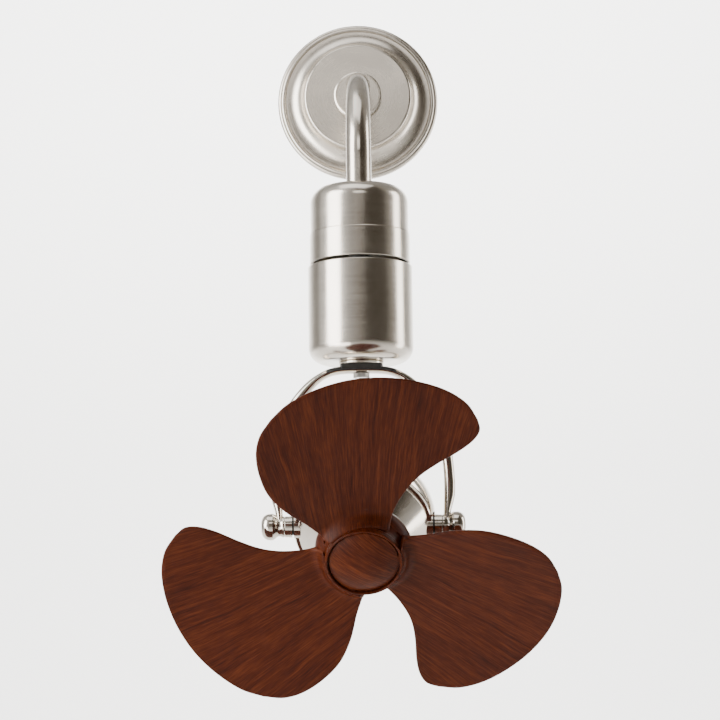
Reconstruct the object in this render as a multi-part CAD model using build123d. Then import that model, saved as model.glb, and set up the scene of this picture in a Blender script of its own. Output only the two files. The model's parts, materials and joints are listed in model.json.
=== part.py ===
from build123d import *
import math
import os

# Wall fan: a bent arm carries a swinging housing, a yoke and a tilting three-blade fan.
# Millimetres. Origin at the centre of the wall face, +X right, +Z up, the fan reaches out along -Y.

# Whole fan
blade_sweep_d = 457.2
arm_reach = 168.0
arm_bend_r = 105.0
rest_tilt = 40.0

# Clearances
slip_gap = 0.05
part_gap = 0.2
turning_gap = 4.0
seam_gap = 0.6

# Wall plate and arm flange
plate_d = 116.0
plate_t = 3.0
box_slot_spacing = 88.9
box_slot_w = 5.2
box_slot_l = 12.0
wire_hole_d = 18.0
wire_hole_drop = 45.5
flange_d = 70.0
flange_t = 5.0
flange_hub_d = 42.0
flange_hub_l = 18.0
flange_screw_pcd = 55.4

# Arm tube
tube_d = 28.6
tube_wall = 1.6
wire_entry_d = 10.0

# Canopy, spun from sheet
canopy_d = 192.0
canopy_depth = 29.6
canopy_wall = 1.6
canopy_plateau_d = 124.8
canopy_cove_r = 20.0
canopy_step_h = 7.0
canopy_bead_h = 0.9
collar_d = 56.2
collar_t = 7.0

# Housing around the swing axis
cap_top_z = -147.0
cap_h = 53.0
cap_d = 110.2
cap_shoulder_r = 18.0
cap_wall = 2.0
ring_d = 112.2
ring_h = 34.0
ring_wall = 2.5
ring_lip_w = 13.0
ring_lip_t = 3.0
cup_d = 116.8
cup_h = 108.0
cup_wall = 2.5
cup_bottom_t = 3.5
cup_bottom_r = 17.0
socket_hub_d = 46.0
socket_hub_h = 28.0
socket_disc_t = 4.0
housing_boss_d = 10.0
housing_screw_inset = 6.6
cup_boss_inset = 6.9

# Spindle, bearings and turntable
spindle_flange_t = 5.0
spindle_screw_gap = 4.5
shoulder_d = 24.0
spindle_d = 17.0
spindle_bore_d = 10.0
bearing_d = 35.0
bearing_w = 10.0
turntable_hub_d = 45.0
turntable_disc_t = 4.0
turntable_drop = 3.0
bearing_spacing = 19.0

# Gear pair, motor and bracket
gear_module = 1.25
sun_teeth = 28
pinion_teeth = 16
gear_t = 6.0
gear_backlash = 0.15
gear_shaft_d = 6.0
swing_motor_d = 50.0
swing_motor_h = 18.0
bracket_d = 100.0
bracket_t = 3.0
post_d = 7.0
post_pcd = 88.0

# Yoke, outer edge as distances from its top centre
yoke_h = 178.0
yoke_depth = 13.0
yoke_top_t = 8.4
yoke_side_t = 12.4
yoke_end_t = 9.5
yoke_outer = [(0, 0), (40, 4), (56, 13), (71, 27.5), (83, 44), (97, 83), (101.6, 122), (100.6, 150), (98.2, 178)]
pad_half_w = 39.0
pad_t = 1.6
bottom_collar_d = 50.0
bottom_collar_t = 3.0
yoke_bolt_d = 10.0
yoke_bolt_bore_d = 6.0

# Pivot line, distances from the fan's middle plane
boss_face_x = 76.3
boss_d = 25.6
pivot_bolt_d = 8.0
washer_t = 2.0
washer_d = 19.0
pivot_ring_t = 2.0
pivot_ring_d = 24.0
neck_collar_t = 4.2
neck_collar_d = 23.4
eye_w = 12.8
eye_waist_d = 21.2
knob_d = 29.5
knob_l = 12.7

# Motor housing, along the fan axis from the pivot
bowl_d = 159.0
bowl_half_l = 62.0
bowl_corner_r = 44.5
bowl_centre = -14.0
bowl_end = 2.0
bowl_wall = 3.0
trim_d = 152.0
trim_l = 6.0
trim_w = 5.5
cone_back_d = 147.0
cone_front_d = 97.0
cone_l = 26.5
cone_wall = 3.0
front_plate_d = 101.0
front_plate_t = 4.5
housing_column_pcd = 128.0
housing_column_d = 14.0
grommet_lean = 53.0

# Motor inside
stator_d = 120.0
stator_l = 40.0
stator_back = -34.0
air_gap = 0.6
rotor_d = 60.0
shaft_d = 12.0
shaft_thread_d = 10.0
motor_bearing_d = 32.0
motor_bearing_w = 10.0
slot_count = 12

# Impeller, along the fan axis from the pivot
blade_plane = 50.0
blade_count = 3
blade_pitch_slope = -0.165
blade_pitch_twist = 0.000123
blade_rise_slope = 0.082
blade_rise_curve = -0.000119
blade_camber = 0.000375
blade_root_t = 4.6
blade_tip_t = 2.8
hub_back = 40.5
hub_back_d = 106.0
hub_lip_d = 83.8
hub_lip_z = 68.0
hub_cap_d = 79.2
hub_cap_seam = 70.4
hub_cap_rise = 10.0
hub_cap_wall = 2.5
hub_groove_w = 1.3
hub_groove_depth = 4.0
hub_solid_front = 58.0
blade_seat_r = 45.0
blade_tab_w = 32.0
blade_tab_r = 20.0

# Blade outline seen along the fan axis: x across, y outward along the blade
blade_outline = [
    (32, 46), (36, 66), (49, 93), (83, 116), (113, 138), (127, 162), (110, 190), (57, 218.5),
    (0, 228.6), (-54, 219.5), (-98, 190), (-113.5, 144), (-99, 92), (-74, 56), (-55, 36),
]
blade_root_outline = [(-74, 56), (-55, 36), (-41, 14), (22, 28), (32, 46), (36, 66)]

# Derived places
housing_screw_pcd = cap_d - 2 * housing_screw_inset
cup_boss_pcd = cup_d - 2 * cup_boss_inset
spindle_screw_pcd = tube_d + 2 * spindle_screw_gap
spindle_flange_d = spindle_screw_pcd + 10.4
cap_bottom_z = cap_top_z - cap_h
ring_bottom_z = cap_bottom_z - ring_h
cup_top_z = ring_bottom_z - turning_gap
cup_bottom_z = cup_top_z - cup_h
pad_top_z = cup_bottom_z - bottom_collar_t
yoke_top_z = pad_top_z - 1.0
pivot_z = yoke_top_z - yoke_h
lip_bottom_z = cap_bottom_z - ring_lip_t
spindle_shoulder_z = cup_top_z - turntable_drop - turntable_disc_t + 2.0
upper_bearing_z = spindle_shoulder_z - bearing_w
lower_bearing_z = upper_bearing_z - bearing_spacing - bearing_w
turntable_top_z = cup_top_z - turntable_drop
turntable_bottom_z = lower_bearing_z
sun_top_z = turntable_bottom_z - 2.0
sun_bottom_z = sun_top_z - gear_t
nut_h = 6.5
bracket_top_z = sun_bottom_z - nut_h - 6.5
bracket_bottom_z = bracket_top_z - bracket_t
gear_centres = gear_module * (sun_teeth + pinion_teeth) / 2
blade_tip_r = blade_sweep_d / 2
outline_scale = blade_tip_r / 228.6

tilt = math.radians(rest_tilt)
WALL = Plane(origin=(0, 0, 0), x_dir=(1, 0, 0), z_dir=(0, -1, 0))
SWING = Plane(origin=(0, -arm_reach, 0))
FAN = Plane(origin=(0, -arm_reach, pivot_z), x_dir=(1, 0, 0), z_dir=(0, -math.cos(tilt), -math.sin(tilt)))


def pivot_plane(side):
    """Plane at the pivot whose normal points out to the right (1) or the left (-1)."""
    return Plane(origin=(0, -arm_reach, pivot_z), z_dir=(side, 0, 0))


def turned(points, rounds=()):
    """Revolve a closed (radius, height) outline about Z; rounds holds (corner, radius) pairs."""
    face = make_face(Polyline(*points, close=True)).face()
    for corner, radius in rounds:
        nearest = face.vertices().sort_by_distance((points[corner][0], points[corner][1], 0))[0]
        face = face.fillet_2d(radius, [nearest])
    return revolve(Plane.XZ * face, Axis.Z)


def turned_edges(*edges):
    """Revolve a closed outline of lines and arcs, drawn as (radius, height), about Z."""
    return revolve(Plane.XZ * make_face(Curve() + list(edges)), Axis.Z)


def rod(radius, low, high, x=0.0, y=0.0):
    """Round bar along Z from low to high."""
    return Pos(x, y, (low + high) / 2) * Cylinder(radius, high - low)


def tube(outer, inner, low, high):
    """Round sleeve along Z from low to high, radii given."""
    return rod(outer, low, high) - rod(inner, low - 1, high + 1)


def ring_places(pcd, count, start=0.0):
    """Even places on a circle."""
    return [
        (pcd / 2 * math.cos(math.radians(start + 360 * k / count)),
         pcd / 2 * math.sin(math.radians(start + 360 * k / count)))
        for k in range(count)
    ]


def pan_screw(size, length):
    """Screw with its head above z 0 and its shank below, named by its nominal diameter."""
    head_r = size * 0.95
    head_h = size * 0.62
    head = turned([(0, 0), (head_r, 0), (head_r, head_h), (0, head_h)], [(2, head_h * 0.6)])
    slot = Pos(0, 0, head_h) * Box(head_r * 1.3, size * 0.22, head_h * 0.8)
    return head - slot + rod(size / 2 - slip_gap, -length, 0)


def hex_nut(size, height, bore_r):
    """Nut standing on z 0, with chamfered corners."""
    across = size * 1.7
    body = extrude(RegularPolygon(across / 2, 6, major_radius=False), height)
    corner_r = across / 2 / math.cos(math.radians(30))
    crown = turned([
        (0, 0), (across / 2, 0), (corner_r, height * 0.18), (corner_r, height * 0.82),
        (across / 2, height), (0, height),
    ])
    return (body & crown) - rod(bore_r, -1, height + 1)


def ball_bearing(inner_r, outer_r, width, low):
    """Ball bearing shown as its rings with the shields set back between them."""
    race = (outer_r - inner_r) * 0.26
    recess = 0.7
    return turned([
        (inner_r, low), (inner_r + race, low), (inner_r + race, low + recess),
        (outer_r - race, low + recess), (outer_r - race, low), (outer_r, low),
        (outer_r, low + width), (outer_r - race, low + width), (outer_r - race, low + width - recess),
        (inner_r + race, low + width - recess), (inner_r + race, low + width), (inner_r, low + width),
    ])


def gear_blank(teeth, low, thickness, turn):
    """Involute spur gear, 20 degree pressure angle, a tooth centred at the angle turn."""
    pressure = math.radians(20)
    pitch_r = teeth * gear_module / 2
    base_r = pitch_r * math.cos(pressure)
    outer_r = pitch_r + gear_module
    root_r = pitch_r - 1.25 * gear_module
    half_tooth = math.pi / (2 * teeth) - gear_backlash / (2 * pitch_r) + math.tan(pressure) - pressure

    def flank_angle(radius):
        roll = math.acos(min(1.0, base_r / radius))
        return half_tooth - (math.tan(roll) - roll)

    def place(radius, angle):
        return (radius * math.cos(angle), radius * math.sin(angle))

    flank_radii = [base_r + (outer_r - base_r) * share for share in (0.0, 0.3, 0.65, 1.0)]
    step = 2 * math.pi / teeth
    edges = []
    for tooth in range(teeth):
        middle = math.radians(turn) + tooth * step
        rising = [place(r, middle - flank_angle(r)) for r in flank_radii]
        falling = [place(r, middle + flank_angle(r)) for r in reversed(flank_radii)]
        root_in = place(root_r, middle - half_tooth)
        root_out = place(root_r, middle + half_tooth)
        next_in = place(root_r, middle + step - half_tooth)
        edges += [
            Line(root_in, rising[0]),
            Spline(*rising),
            ThreePointArc(rising[-1], place(outer_r, middle), falling[0]),
            Spline(*falling),
            Line(falling[-1], root_out),
            ThreePointArc(root_out, place(root_r, middle + step / 2), next_in),
        ]
    return Pos(0, 0, low) * extrude(make_face(Curve() + edges), thickness)


# Wall side

def wall_plate():
    plate = rod(plate_d / 2, 0, plate_t)
    for side in (1, -1):
        slot = extrude(SlotOverall(box_slot_l, box_slot_w), plate_t * 3, both=True)
        plate -= Pos(side * box_slot_spacing / 2, 0, 0) * slot
    plate -= rod(wire_hole_d / 2, -1, plate_t + 1, 0, -wire_hole_drop)
    for x, y in ring_places(flange_screw_pcd, 4, 45):
        plate -= rod(2.5, -1, plate_t + 1, x, y)
    return WALL * plate


def arm_flange():
    top = plate_t + flange_t
    hub_top = top + flange_hub_l
    body = turned(
        [(0, plate_t), (flange_d / 2, plate_t), (flange_d / 2, top), (flange_hub_d / 2, top),
         (flange_hub_d / 2, hub_top), (0, hub_top)],
        [(2, 1.5), (3, 1.5), (4, 1.5)],
    )
    body -= rod(tube_d / 2 + slip_gap, plate_t + 2, hub_top + 1)
    for x, y in ring_places(flange_screw_pcd, 4, 45):
        body -= rod(2.7, plate_t - 1, top + 1, x, y)
    body -= wire_entry()
    body -= set_screw_hole(top + flange_hub_l / 2, flange_hub_d / 2 + 1)
    return WALL * body


def wire_entry():
    """Side hole that lets the wires into the arm, below the axis."""
    height = plate_t + flange_t + flange_hub_l / 2
    return Pos(0, -flange_hub_d / 2, height) * Rot(90, 0, 0) * Cylinder(wire_entry_d / 2, flange_hub_d)


def set_screw_hole(height, reach):
    """Radial hole for a set screw above the axis, from the tube out to reach."""
    length = reach - tube_d / 2
    return Pos(0, tube_d / 2 + length / 2, height) * Rot(90, 0, 0) * Cylinder(2.0, length)


def set_screw(height, outer_r):
    length = outer_r - tube_d / 2 - 0.5
    body = Pos(0, tube_d / 2 + length / 2, height) * Rot(90, 0, 0) * Cylinder(2.0 - slip_gap, length)
    socket = Pos(0, tube_d / 2 + length, height) * Rot(90, 0, 0) * Cylinder(1.0, 3.0)
    return body - socket


def flange_screws():
    top = plate_t + flange_t
    screws = [Pos(x, y, top) * pan_screw(5.0, flange_t + plate_t - 0.5)
              for x, y in ring_places(flange_screw_pcd, 4, 45)]
    return WALL * Compound(children=screws)


def canopy():
    depth = canopy_depth
    wall = canopy_wall
    rim_r = canopy_d / 2
    top_r = canopy_plateau_d / 2 - 1.0
    cove_x = canopy_plateau_d / 2 + 2.0 + canopy_cove_r
    cove_y = canopy_step_h + canopy_cove_r
    hole_r = tube_d / 2 + 0.4
    groove_r = cove_x + 2.0
    bead_r = groove_r + 1.6
    step_r = rim_r - 4.0
    shell = turned_edges(
        Line((hole_r, depth), (top_r, depth)),
        SagittaArc((top_r, depth), (cove_x - canopy_cove_r, cove_y), 0.7),
        CenterArc((cove_x, cove_y), canopy_cove_r, 180, 90),
        Line((cove_x, canopy_step_h), (groove_r, canopy_step_h)),
        Line((groove_r, canopy_step_h), (groove_r + 0.8, canopy_step_h - 1.2)),
        Line((groove_r + 0.8, canopy_step_h - 1.2), (bead_r, canopy_step_h)),
        SagittaArc((bead_r, canopy_step_h), (step_r, canopy_step_h - 1.6), canopy_bead_h),
        SagittaArc((step_r, canopy_step_h - 1.6), (rim_r, 1.6), 1.1),
        Line((rim_r, 1.6), (rim_r, 0)),
        Line((rim_r, 0), (rim_r - wall, 0)),
        Line((rim_r - wall, 0), (rim_r - wall, 0.8)),
        Line((rim_r - wall, 0.8), (step_r - 1.0, canopy_step_h - 1.6 - wall)),
        Line((step_r - 1.0, canopy_step_h - 1.6 - wall), (cove_x, canopy_step_h - wall)),
        CenterArc((cove_x, cove_y), canopy_cove_r + wall, 270, -90),
        Line((cove_x - canopy_cove_r - wall, cove_y), (top_r - wall * 0.6, depth - wall)),
        Line((top_r - wall * 0.6, depth - wall), (hole_r, depth - wall)),
        Line((hole_r, depth - wall), (hole_r, depth)),
    )
    return WALL * shell


def canopy_collar():
    low = canopy_depth
    high = low + collar_t
    outer = collar_d / 2
    body = turned(
        [(tube_d / 2 + slip_gap, low), (outer, low), (outer, low + 2.2), (outer - 0.7, low + 2.6),
         (outer - 0.7, low + 3.2), (outer, low + 3.6), (outer, high - 1.0), (outer - 1.6, high),
         (outer - 2.4, high), (outer - 2.9, high - 0.6), (tube_d / 2 + slip_gap, high - 0.6)],
        [(7, 0.5)],
    )
    body -= set_screw_hole(low + collar_t * 0.7, outer + 1)
    return WALL * body


def canopy_collar_screw():
    return WALL * set_screw(canopy_depth + collar_t * 0.7, collar_d / 2)


def flange_set_screw():
    return WALL * set_screw(plate_t + flange_t + flange_hub_l / 2, flange_hub_d / 2)


def terminal_block():
    length, width, height = 32.0, 12.0, 13.0
    y = flange_d / 2 + width / 2 + 1.5
    block = Pos(0, y, plate_t + height / 2) * Box(length, width, height)
    block = fillet(block.edges().filter_by(Axis.Z), 1.2)
    for k in range(3):
        x = (k - 1) * length / 3.3
        block -= rod(2.6, plate_t + 4, plate_t + height + 1, x, y)
        block -= Pos(x, y, plate_t + 5) * Rot(90, 0, 0) * Cylinder(1.7, width + 2)
    return WALL * block


def run_capacitor():
    length, width, height = 30.0, 14.0, 21.0
    centre = flange_d / 2 + width / 2 + 5.5
    can = Pos(0, centre, plate_t + height / 2) * Box(length, width, height)
    can = fillet(can.edges().filter_by(Axis.Z), 6.0)
    can = fillet(can.faces().sort_by(Axis.Z)[-1].edges(), 1.5)
    return WALL * Rot(0, 0, 135) * can


def arm_tube():
    start = Vector(0, -(plate_t + 2.0), 0)
    bend_start = Vector(0, -(arm_reach - arm_bend_r), 0)
    bend_mid = Vector(
        0,
        -(arm_reach - arm_bend_r + arm_bend_r * math.sin(math.pi / 4)),
        -arm_bend_r + arm_bend_r * math.cos(math.pi / 4),
    )
    bend_end = Vector(0, -arm_reach, -arm_bend_r)
    end = Vector(0, -arm_reach, cap_bottom_z + socket_disc_t)
    path = Wire([Line(start, bend_start), ThreePointArc(bend_start, bend_mid, bend_end), Line(bend_end, end)])
    section = Plane(origin=start, z_dir=(0, -1, 0)) * (Circle(tube_d / 2) - Circle(tube_d / 2 - tube_wall))
    pipe = sweep(section, path)
    return pipe - WALL * wire_entry() - SWING * socket_pin_hole(tube_d)


# Fixed part of the housing

def upper_cap():
    outer = cap_d / 2
    solid = turned(
        [(0, cap_bottom_z), (outer, cap_bottom_z), (outer, cap_top_z), (0, cap_top_z)],
        [(2, cap_shoulder_r)],
    )
    hollow = turned(
        [(0, cap_bottom_z - 1), (outer - cap_wall, cap_bottom_z - 1), (outer - cap_wall, cap_top_z - cap_wall),
         (0, cap_top_z - cap_wall)],
        [(2, cap_shoulder_r - cap_wall)],
    )
    shell = solid - hollow - rod(tube_d / 2 + 0.3, cap_top_z - 10, cap_top_z + 1)
    for x, y in ring_places(housing_screw_pcd, 3, 90):
        boss = rod(housing_boss_d / 2, cap_bottom_z + socket_disc_t, cap_top_z, x, y)
        shell += boss & solid
        shell -= rod(2.0, cap_bottom_z, cap_bottom_z + socket_disc_t + 12, x, y)
    return SWING * shell


def arm_socket():
    low = cap_bottom_z
    disc_top = low + socket_disc_t
    body = turned(
        [(spindle_bore_d / 2, low), (cap_d / 2 - cap_wall - part_gap, low),
         (cap_d / 2 - cap_wall - part_gap, disc_top), (socket_hub_d / 2, disc_top),
         (socket_hub_d / 2, disc_top + socket_hub_h), (spindle_bore_d / 2, disc_top + socket_hub_h)],
        [(3, 4.0), (4, 1.5)],
    )
    body -= rod(tube_d / 2 + slip_gap, disc_top, disc_top + socket_hub_h + 1)
    for x, y in ring_places(housing_screw_pcd, 3, 90):
        body -= rod(2.2, low - 1, disc_top + 1, x, y)
    for x, y in ring_places(spindle_screw_pcd, 3, 30):
        body -= rod(2.0, low - 1, low + 12, x, y)
    body -= socket_pin_hole(socket_hub_d + 2)
    return SWING * body


def socket_pin_hole(length):
    """Cross hole for the pin that locks the tube in its socket."""
    height = cap_bottom_z + socket_disc_t + socket_hub_h / 2
    return Pos(0, 0, height) * Rot(0, 90, 0) * Cylinder(2.5, length)


def socket_pin():
    height = cap_bottom_z + socket_disc_t + socket_hub_h / 2
    return SWING * (Pos(0, 0, height) * Rot(0, 90, 0) * Cylinder(2.5 - slip_gap, socket_hub_d + 3))


def middle_ring():
    outer = ring_d / 2
    band_top = cap_bottom_z - seam_gap
    band = turned(
        [(outer - ring_wall, ring_bottom_z), (outer, ring_bottom_z), (outer, band_top),
         (outer - ring_wall, band_top)],
        [(1, 0.6), (2, 0.6)],
    )
    lip_outer = outer - ring_wall
    lip = tube(lip_outer + 0.5, lip_outer - ring_lip_w, lip_bottom_z, cap_bottom_z)
    lip -= tube(outer, cap_d / 2 - cap_wall - part_gap, band_top, cap_bottom_z + 1)
    for x, y in ring_places(housing_screw_pcd, 3, 90):
        lip -= rod(2.2, lip_bottom_z - 1, cap_bottom_z + 1, x, y)
    return SWING * (band + lip)


def ring_screws():
    length = ring_lip_t + socket_disc_t + 9.0
    screws = [Pos(x, y, lip_bottom_z) * Rot(180, 0, 0) * pan_screw(4.0, length)
              for x, y in ring_places(housing_screw_pcd, 3, 90)]
    return SWING * Compound(children=screws)


def spindle():
    flange_low = cap_bottom_z - spindle_flange_t
    bore = spindle_bore_d / 2
    thread_r = spindle_d / 2 - 0.5
    tip_z = sun_bottom_z - nut_h - 1.5
    body = turned(
        [(bore, cap_bottom_z), (spindle_flange_d / 2, cap_bottom_z), (spindle_flange_d / 2, flange_low),
         (shoulder_d / 2, flange_low), (shoulder_d / 2, spindle_shoulder_z),
         (spindle_d / 2, spindle_shoulder_z), (spindle_d / 2, sun_bottom_z), (thread_r, sun_bottom_z),
         (thread_r, tip_z), (bore, tip_z)],
        [(2, 1.0), (3, 3.0)],
    )
    for x, y in ring_places(spindle_screw_pcd, 3, 30):
        body -= rod(2.2, flange_low - 1, cap_bottom_z + 1, x, y)
    return SWING * body


def spindle_screws():
    flange_low = cap_bottom_z - spindle_flange_t
    screws = [Pos(x, y, flange_low) * Rot(180, 0, 0) * pan_screw(4.0, spindle_flange_t + 10)
              for x, y in ring_places(spindle_screw_pcd, 3, 30)]
    return SWING * Compound(children=screws)


def sun_gear():
    gear = gear_blank(sun_teeth, sun_bottom_z, gear_t, 0)
    spacer = tube(spindle_d / 2 + 2.0, spindle_d / 2 + slip_gap, sun_top_z, lower_bearing_z)
    return SWING * (gear - rod(spindle_d / 2 + slip_gap, sun_bottom_z - 1, sun_top_z + 1) + spacer)


def spindle_nut():
    nut = hex_nut(spindle_d - 1.0, nut_h, spindle_d / 2 - 0.5 + slip_gap)
    return SWING * Pos(0, 0, sun_bottom_z - nut_h) * nut


# Swinging part of the housing

def lower_cup():
    outer = cup_d / 2
    solid = turned(
        [(0, cup_bottom_z), (outer, cup_bottom_z), (outer, cup_top_z), (0, cup_top_z)],
        [(1, cup_bottom_r), (2, 0.8)],
    )
    inner_low = cup_bottom_z + cup_bottom_t
    hollow = turned(
        [(0, inner_low), (outer - cup_wall, inner_low), (outer - cup_wall, cup_top_z + 1),
         (0, cup_top_z + 1)],
        [(1, cup_bottom_r - cup_wall)],
    )
    shell = solid - hollow - rod(yoke_bolt_d / 2 + slip_gap, cup_bottom_z - 1, inner_low + 1)
    boss_top = turntable_top_z - turntable_disc_t
    for x, y in ring_places(cup_boss_pcd, 4, 45):
        shell += rod(housing_boss_d / 2, boss_top - 22, boss_top, x, y) & solid
        shell -= rod(2.0, boss_top - 14, boss_top + 1, x, y)
    return SWING * shell


def turntable():
    disc_low = turntable_top_z - turntable_disc_t
    rim = cup_d / 2 - cup_wall - part_gap
    seat = bearing_d / 2 + slip_gap
    bore = shoulder_d / 2 + 2.0
    body = turned(
        [(seat, turntable_top_z), (rim, turntable_top_z), (rim, disc_low), (turntable_hub_d / 2, disc_low),
         (turntable_hub_d / 2, turntable_bottom_z), (seat, turntable_bottom_z),
         (seat, lower_bearing_z + bearing_w), (bore, lower_bearing_z + bearing_w),
         (bore, upper_bearing_z), (seat, upper_bearing_z)],
        [(3, 3.0), (4, 1.0)],
    )
    for x, y in ring_places(cup_boss_pcd, 4, 45):
        body -= rod(2.2, disc_low - 1, turntable_top_z + 1, x, y)
    for x, y in ring_places(post_pcd, 3, 60):
        body -= rod(2.0, disc_low - 1, turntable_top_z + 1, x, y)
    return SWING * body


def turntable_screws():
    screws = [Pos(x, y, turntable_top_z) * pan_screw(4.0, turntable_disc_t + 10)
              for x, y in ring_places(cup_boss_pcd, 4, 45)]
    return SWING * Compound(children=screws)


def upper_bearing():
    return SWING * ball_bearing(spindle_d / 2 + slip_gap, bearing_d / 2, bearing_w, upper_bearing_z)


def lower_bearing():
    return SWING * ball_bearing(spindle_d / 2 + slip_gap, bearing_d / 2, bearing_w, lower_bearing_z)


def bracket_posts():
    low = bracket_top_z
    high = turntable_top_z - turntable_disc_t
    posts = []
    for x, y in ring_places(post_pcd, 3, 60):
        post = rod(post_d / 2, low, high, x, y) + rod(2.0 - slip_gap, high, high + turntable_disc_t, x, y)
        posts.append(post - rod(1.5, low - 1, low + 8, x, y))
    return SWING * Compound(children=posts)


def motor_bracket():
    plate = rod(bracket_d / 2, bracket_bottom_z, bracket_top_z)
    plate -= rod(spindle_d, bracket_bottom_z - 1, bracket_top_z + 1)
    plate -= rod(6.0, bracket_bottom_z - 1, bracket_top_z + 1, gear_centres, 0)
    for x, y in ring_places(post_pcd, 3, 60):
        plate -= rod(1.6, bracket_bottom_z - 1, bracket_top_z + 1, x, y)
    for y in swing_ear_places():
        plate -= rod(1.6, bracket_bottom_z - 1, bracket_top_z + 1, gear_centres, y)
    return SWING * plate


def bracket_screws():
    screws = [Pos(x, y, bracket_bottom_z) * Rot(180, 0, 0) * pan_screw(3.0, bracket_t + 6)
              for x, y in ring_places(post_pcd, 3, 60)]
    return SWING * Compound(children=screws)


def swing_ear_places():
    """Distances of the motor's two ears from its axis."""
    reach = swing_motor_d / 2 + 4.5
    return (reach, -reach)


def swing_motor():
    top = bracket_bottom_z
    body = rod(swing_motor_d / 2, top - swing_motor_h, top)
    body = chamfer(body.edges().filter_by(GeomType.CIRCLE).sort_by(Axis.Z)[0], 1.5)
    for y in swing_ear_places():
        ear = rod(4.0, top - 1.6, top, 0, y) + Pos(0, y * 0.9, top - 0.8) * Box(8, 8, 1.6)
        body += ear
        body -= rod(1.6, top - 3, top + 1, 0, y)
    body -= rod(gear_shaft_d / 2 + slip_gap, top - 10, top + 1)
    return SWING * Pos(gear_centres, 0, 0) * body


def swing_motor_screws():
    low = bracket_bottom_z - 1.6
    screws = [Pos(gear_centres, y, low) * Rot(180, 0, 0) * pan_screw(3.0, bracket_t + 1.6)
              for y in swing_ear_places()]
    return SWING * Compound(children=screws)


def drive_pinion():
    gear = gear_blank(pinion_teeth, sun_bottom_z, gear_t, 180 / pinion_teeth)
    neck = rod(gear_shaft_d / 2 + 2.0, bracket_top_z + 1, sun_bottom_z)
    shaft = rod(gear_shaft_d / 2, bracket_bottom_z - 9, sun_top_z + 1)
    return SWING * Pos(gear_centres, 0, 0) * (gear + neck + shaft)


def bottom_collar():
    outer = bottom_collar_d / 2
    body = turned(
        [(yoke_bolt_d / 2 + slip_gap, pad_top_z), (outer, pad_top_z), (outer, cup_bottom_z),
         (yoke_bolt_d / 2 + slip_gap, cup_bottom_z)],
        [(1, 1.2), (2, 1.2)],
    )
    return SWING * body


# Yoke and its fixing

def yoke_thickness(share):
    """Section height along the yoke: thin on top, full on the side, thinner at the end."""
    if share < 0.5:
        return yoke_top_t + (yoke_side_t - yoke_top_t) * math.sin(math.pi * share) ** 2
    return yoke_side_t - (yoke_side_t - yoke_end_t) * ((share - 0.5) / 0.5) ** 4


def yoke_section(index, side):
    """Oval section square to the bar at one point of its outer edge, on the right (1) or left (-1)."""
    last = len(yoke_outer) - 1
    x, drop = yoke_outer[index]
    before = yoke_outer[max(index - 1, 0)]
    after = yoke_outer[min(index + 1, last)]
    along = Vector(1, 0, 0)
    if index > 0:
        along = Vector(after[0] - before[0], 0, side * (before[1] - after[1])).normalized()
    inward = Vector(side * along.Z, 0, -side * along.X) * side
    thickness = yoke_thickness(index / last)
    depth = yoke_depth * yoke_side_t / thickness
    centre = Vector(side * x, 0, -drop) + inward * (thickness / 2)
    return Plane(origin=centre, x_dir=(0, 1, 0), z_dir=along) * Ellipse(depth / 2, thickness / 2)


def yoke_blank():
    """The bent bar on its own, in the yoke's frame: top centre at the origin, depth along Y."""
    last = len(yoke_outer) - 1
    left = [yoke_section(index, -1) for index in range(last, 0, -1)]
    right = [yoke_section(index, 1) for index in range(last + 1)]
    return loft(left + right)


def yoke_pad_band(bar):
    """Top layer of the bar where the pad lies."""
    window = Pos(0, 0, 0) * Box(pad_half_w * 2, yoke_depth * 2, yoke_h / 4)
    return (bar & window) - Pos(0, 0, -pad_t) * bar


def turned_eye():
    """Turned eye at the yoke's end, drawn along the pivot line."""
    inner = boss_face_x + washer_t + 2 * pivot_ring_t + neck_collar_t + part_gap
    outer = inner + eye_w
    collar_r = neck_collar_d / 2
    waist_r = eye_waist_d / 2
    waist = inner + eye_w * 0.45
    return turned_edges(
        Line((pivot_bolt_d / 2 + slip_gap, inner), (collar_r - 0.4, inner)),
        Line((collar_r - 0.4, inner), (collar_r, inner + 0.6)),
        Line((collar_r, inner + 0.6), (collar_r, inner + 2.2)),
        Spline((collar_r, inner + 2.2), (waist_r, waist), (knob_d / 2, outer), tangents=[(-0.4, 1), (0.5, 1)]),
        Line((knob_d / 2, outer), (pivot_bolt_d / 2 + slip_gap, outer)),
        Line((pivot_bolt_d / 2 + slip_gap, outer), (pivot_bolt_d / 2 + slip_gap, inner)),
    )


def yoke():
    bar = yoke_blank()
    body = Pos(0, -arm_reach, yoke_top_z) * (bar - yoke_pad_band(bar))
    for side in (1, -1):
        body += pivot_plane(side) * turned_eye()
        body -= pivot_plane(side) * rod(pivot_bolt_d / 2 + slip_gap, 70, 110)
    body -= SWING * rod(yoke_bolt_d / 2 + slip_gap, yoke_top_z - 20, yoke_top_z + 1)
    return body


def saddle_pad():
    bar = yoke_blank()
    disc = rod(bottom_collar_d / 2 - 1.0, -4.0, pad_top_z - yoke_top_z)
    disc &= Box(bottom_collar_d, yoke_depth + 8, 20)
    body = Pos(0, -arm_reach, yoke_top_z) * (yoke_pad_band(bar) + (disc - Pos(0, 0, -pad_t) * bar))
    body -= SWING * rod(yoke_bolt_d / 2 + slip_gap, yoke_top_z - 20, pad_top_z + 1)
    return body


def yoke_bolt():
    under = yoke_top_z - yoke_top_t
    top = cup_bottom_z + cup_bottom_t + 9.0
    body = rod(yoke_bolt_d / 2, under, top)
    head = Pos(0, 0, under - 5.0) * extrude(RegularPolygon(9.0, 6), 5.0)
    return SWING * (body + head - rod(yoke_bolt_bore_d / 2, under - 10, top + 1))


def yoke_nut():
    nut = hex_nut(yoke_bolt_d, 7.0, yoke_bolt_d / 2 + slip_gap)
    return SWING * Pos(0, 0, cup_bottom_z + cup_bottom_t) * nut


# Pivot hardware

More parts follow.
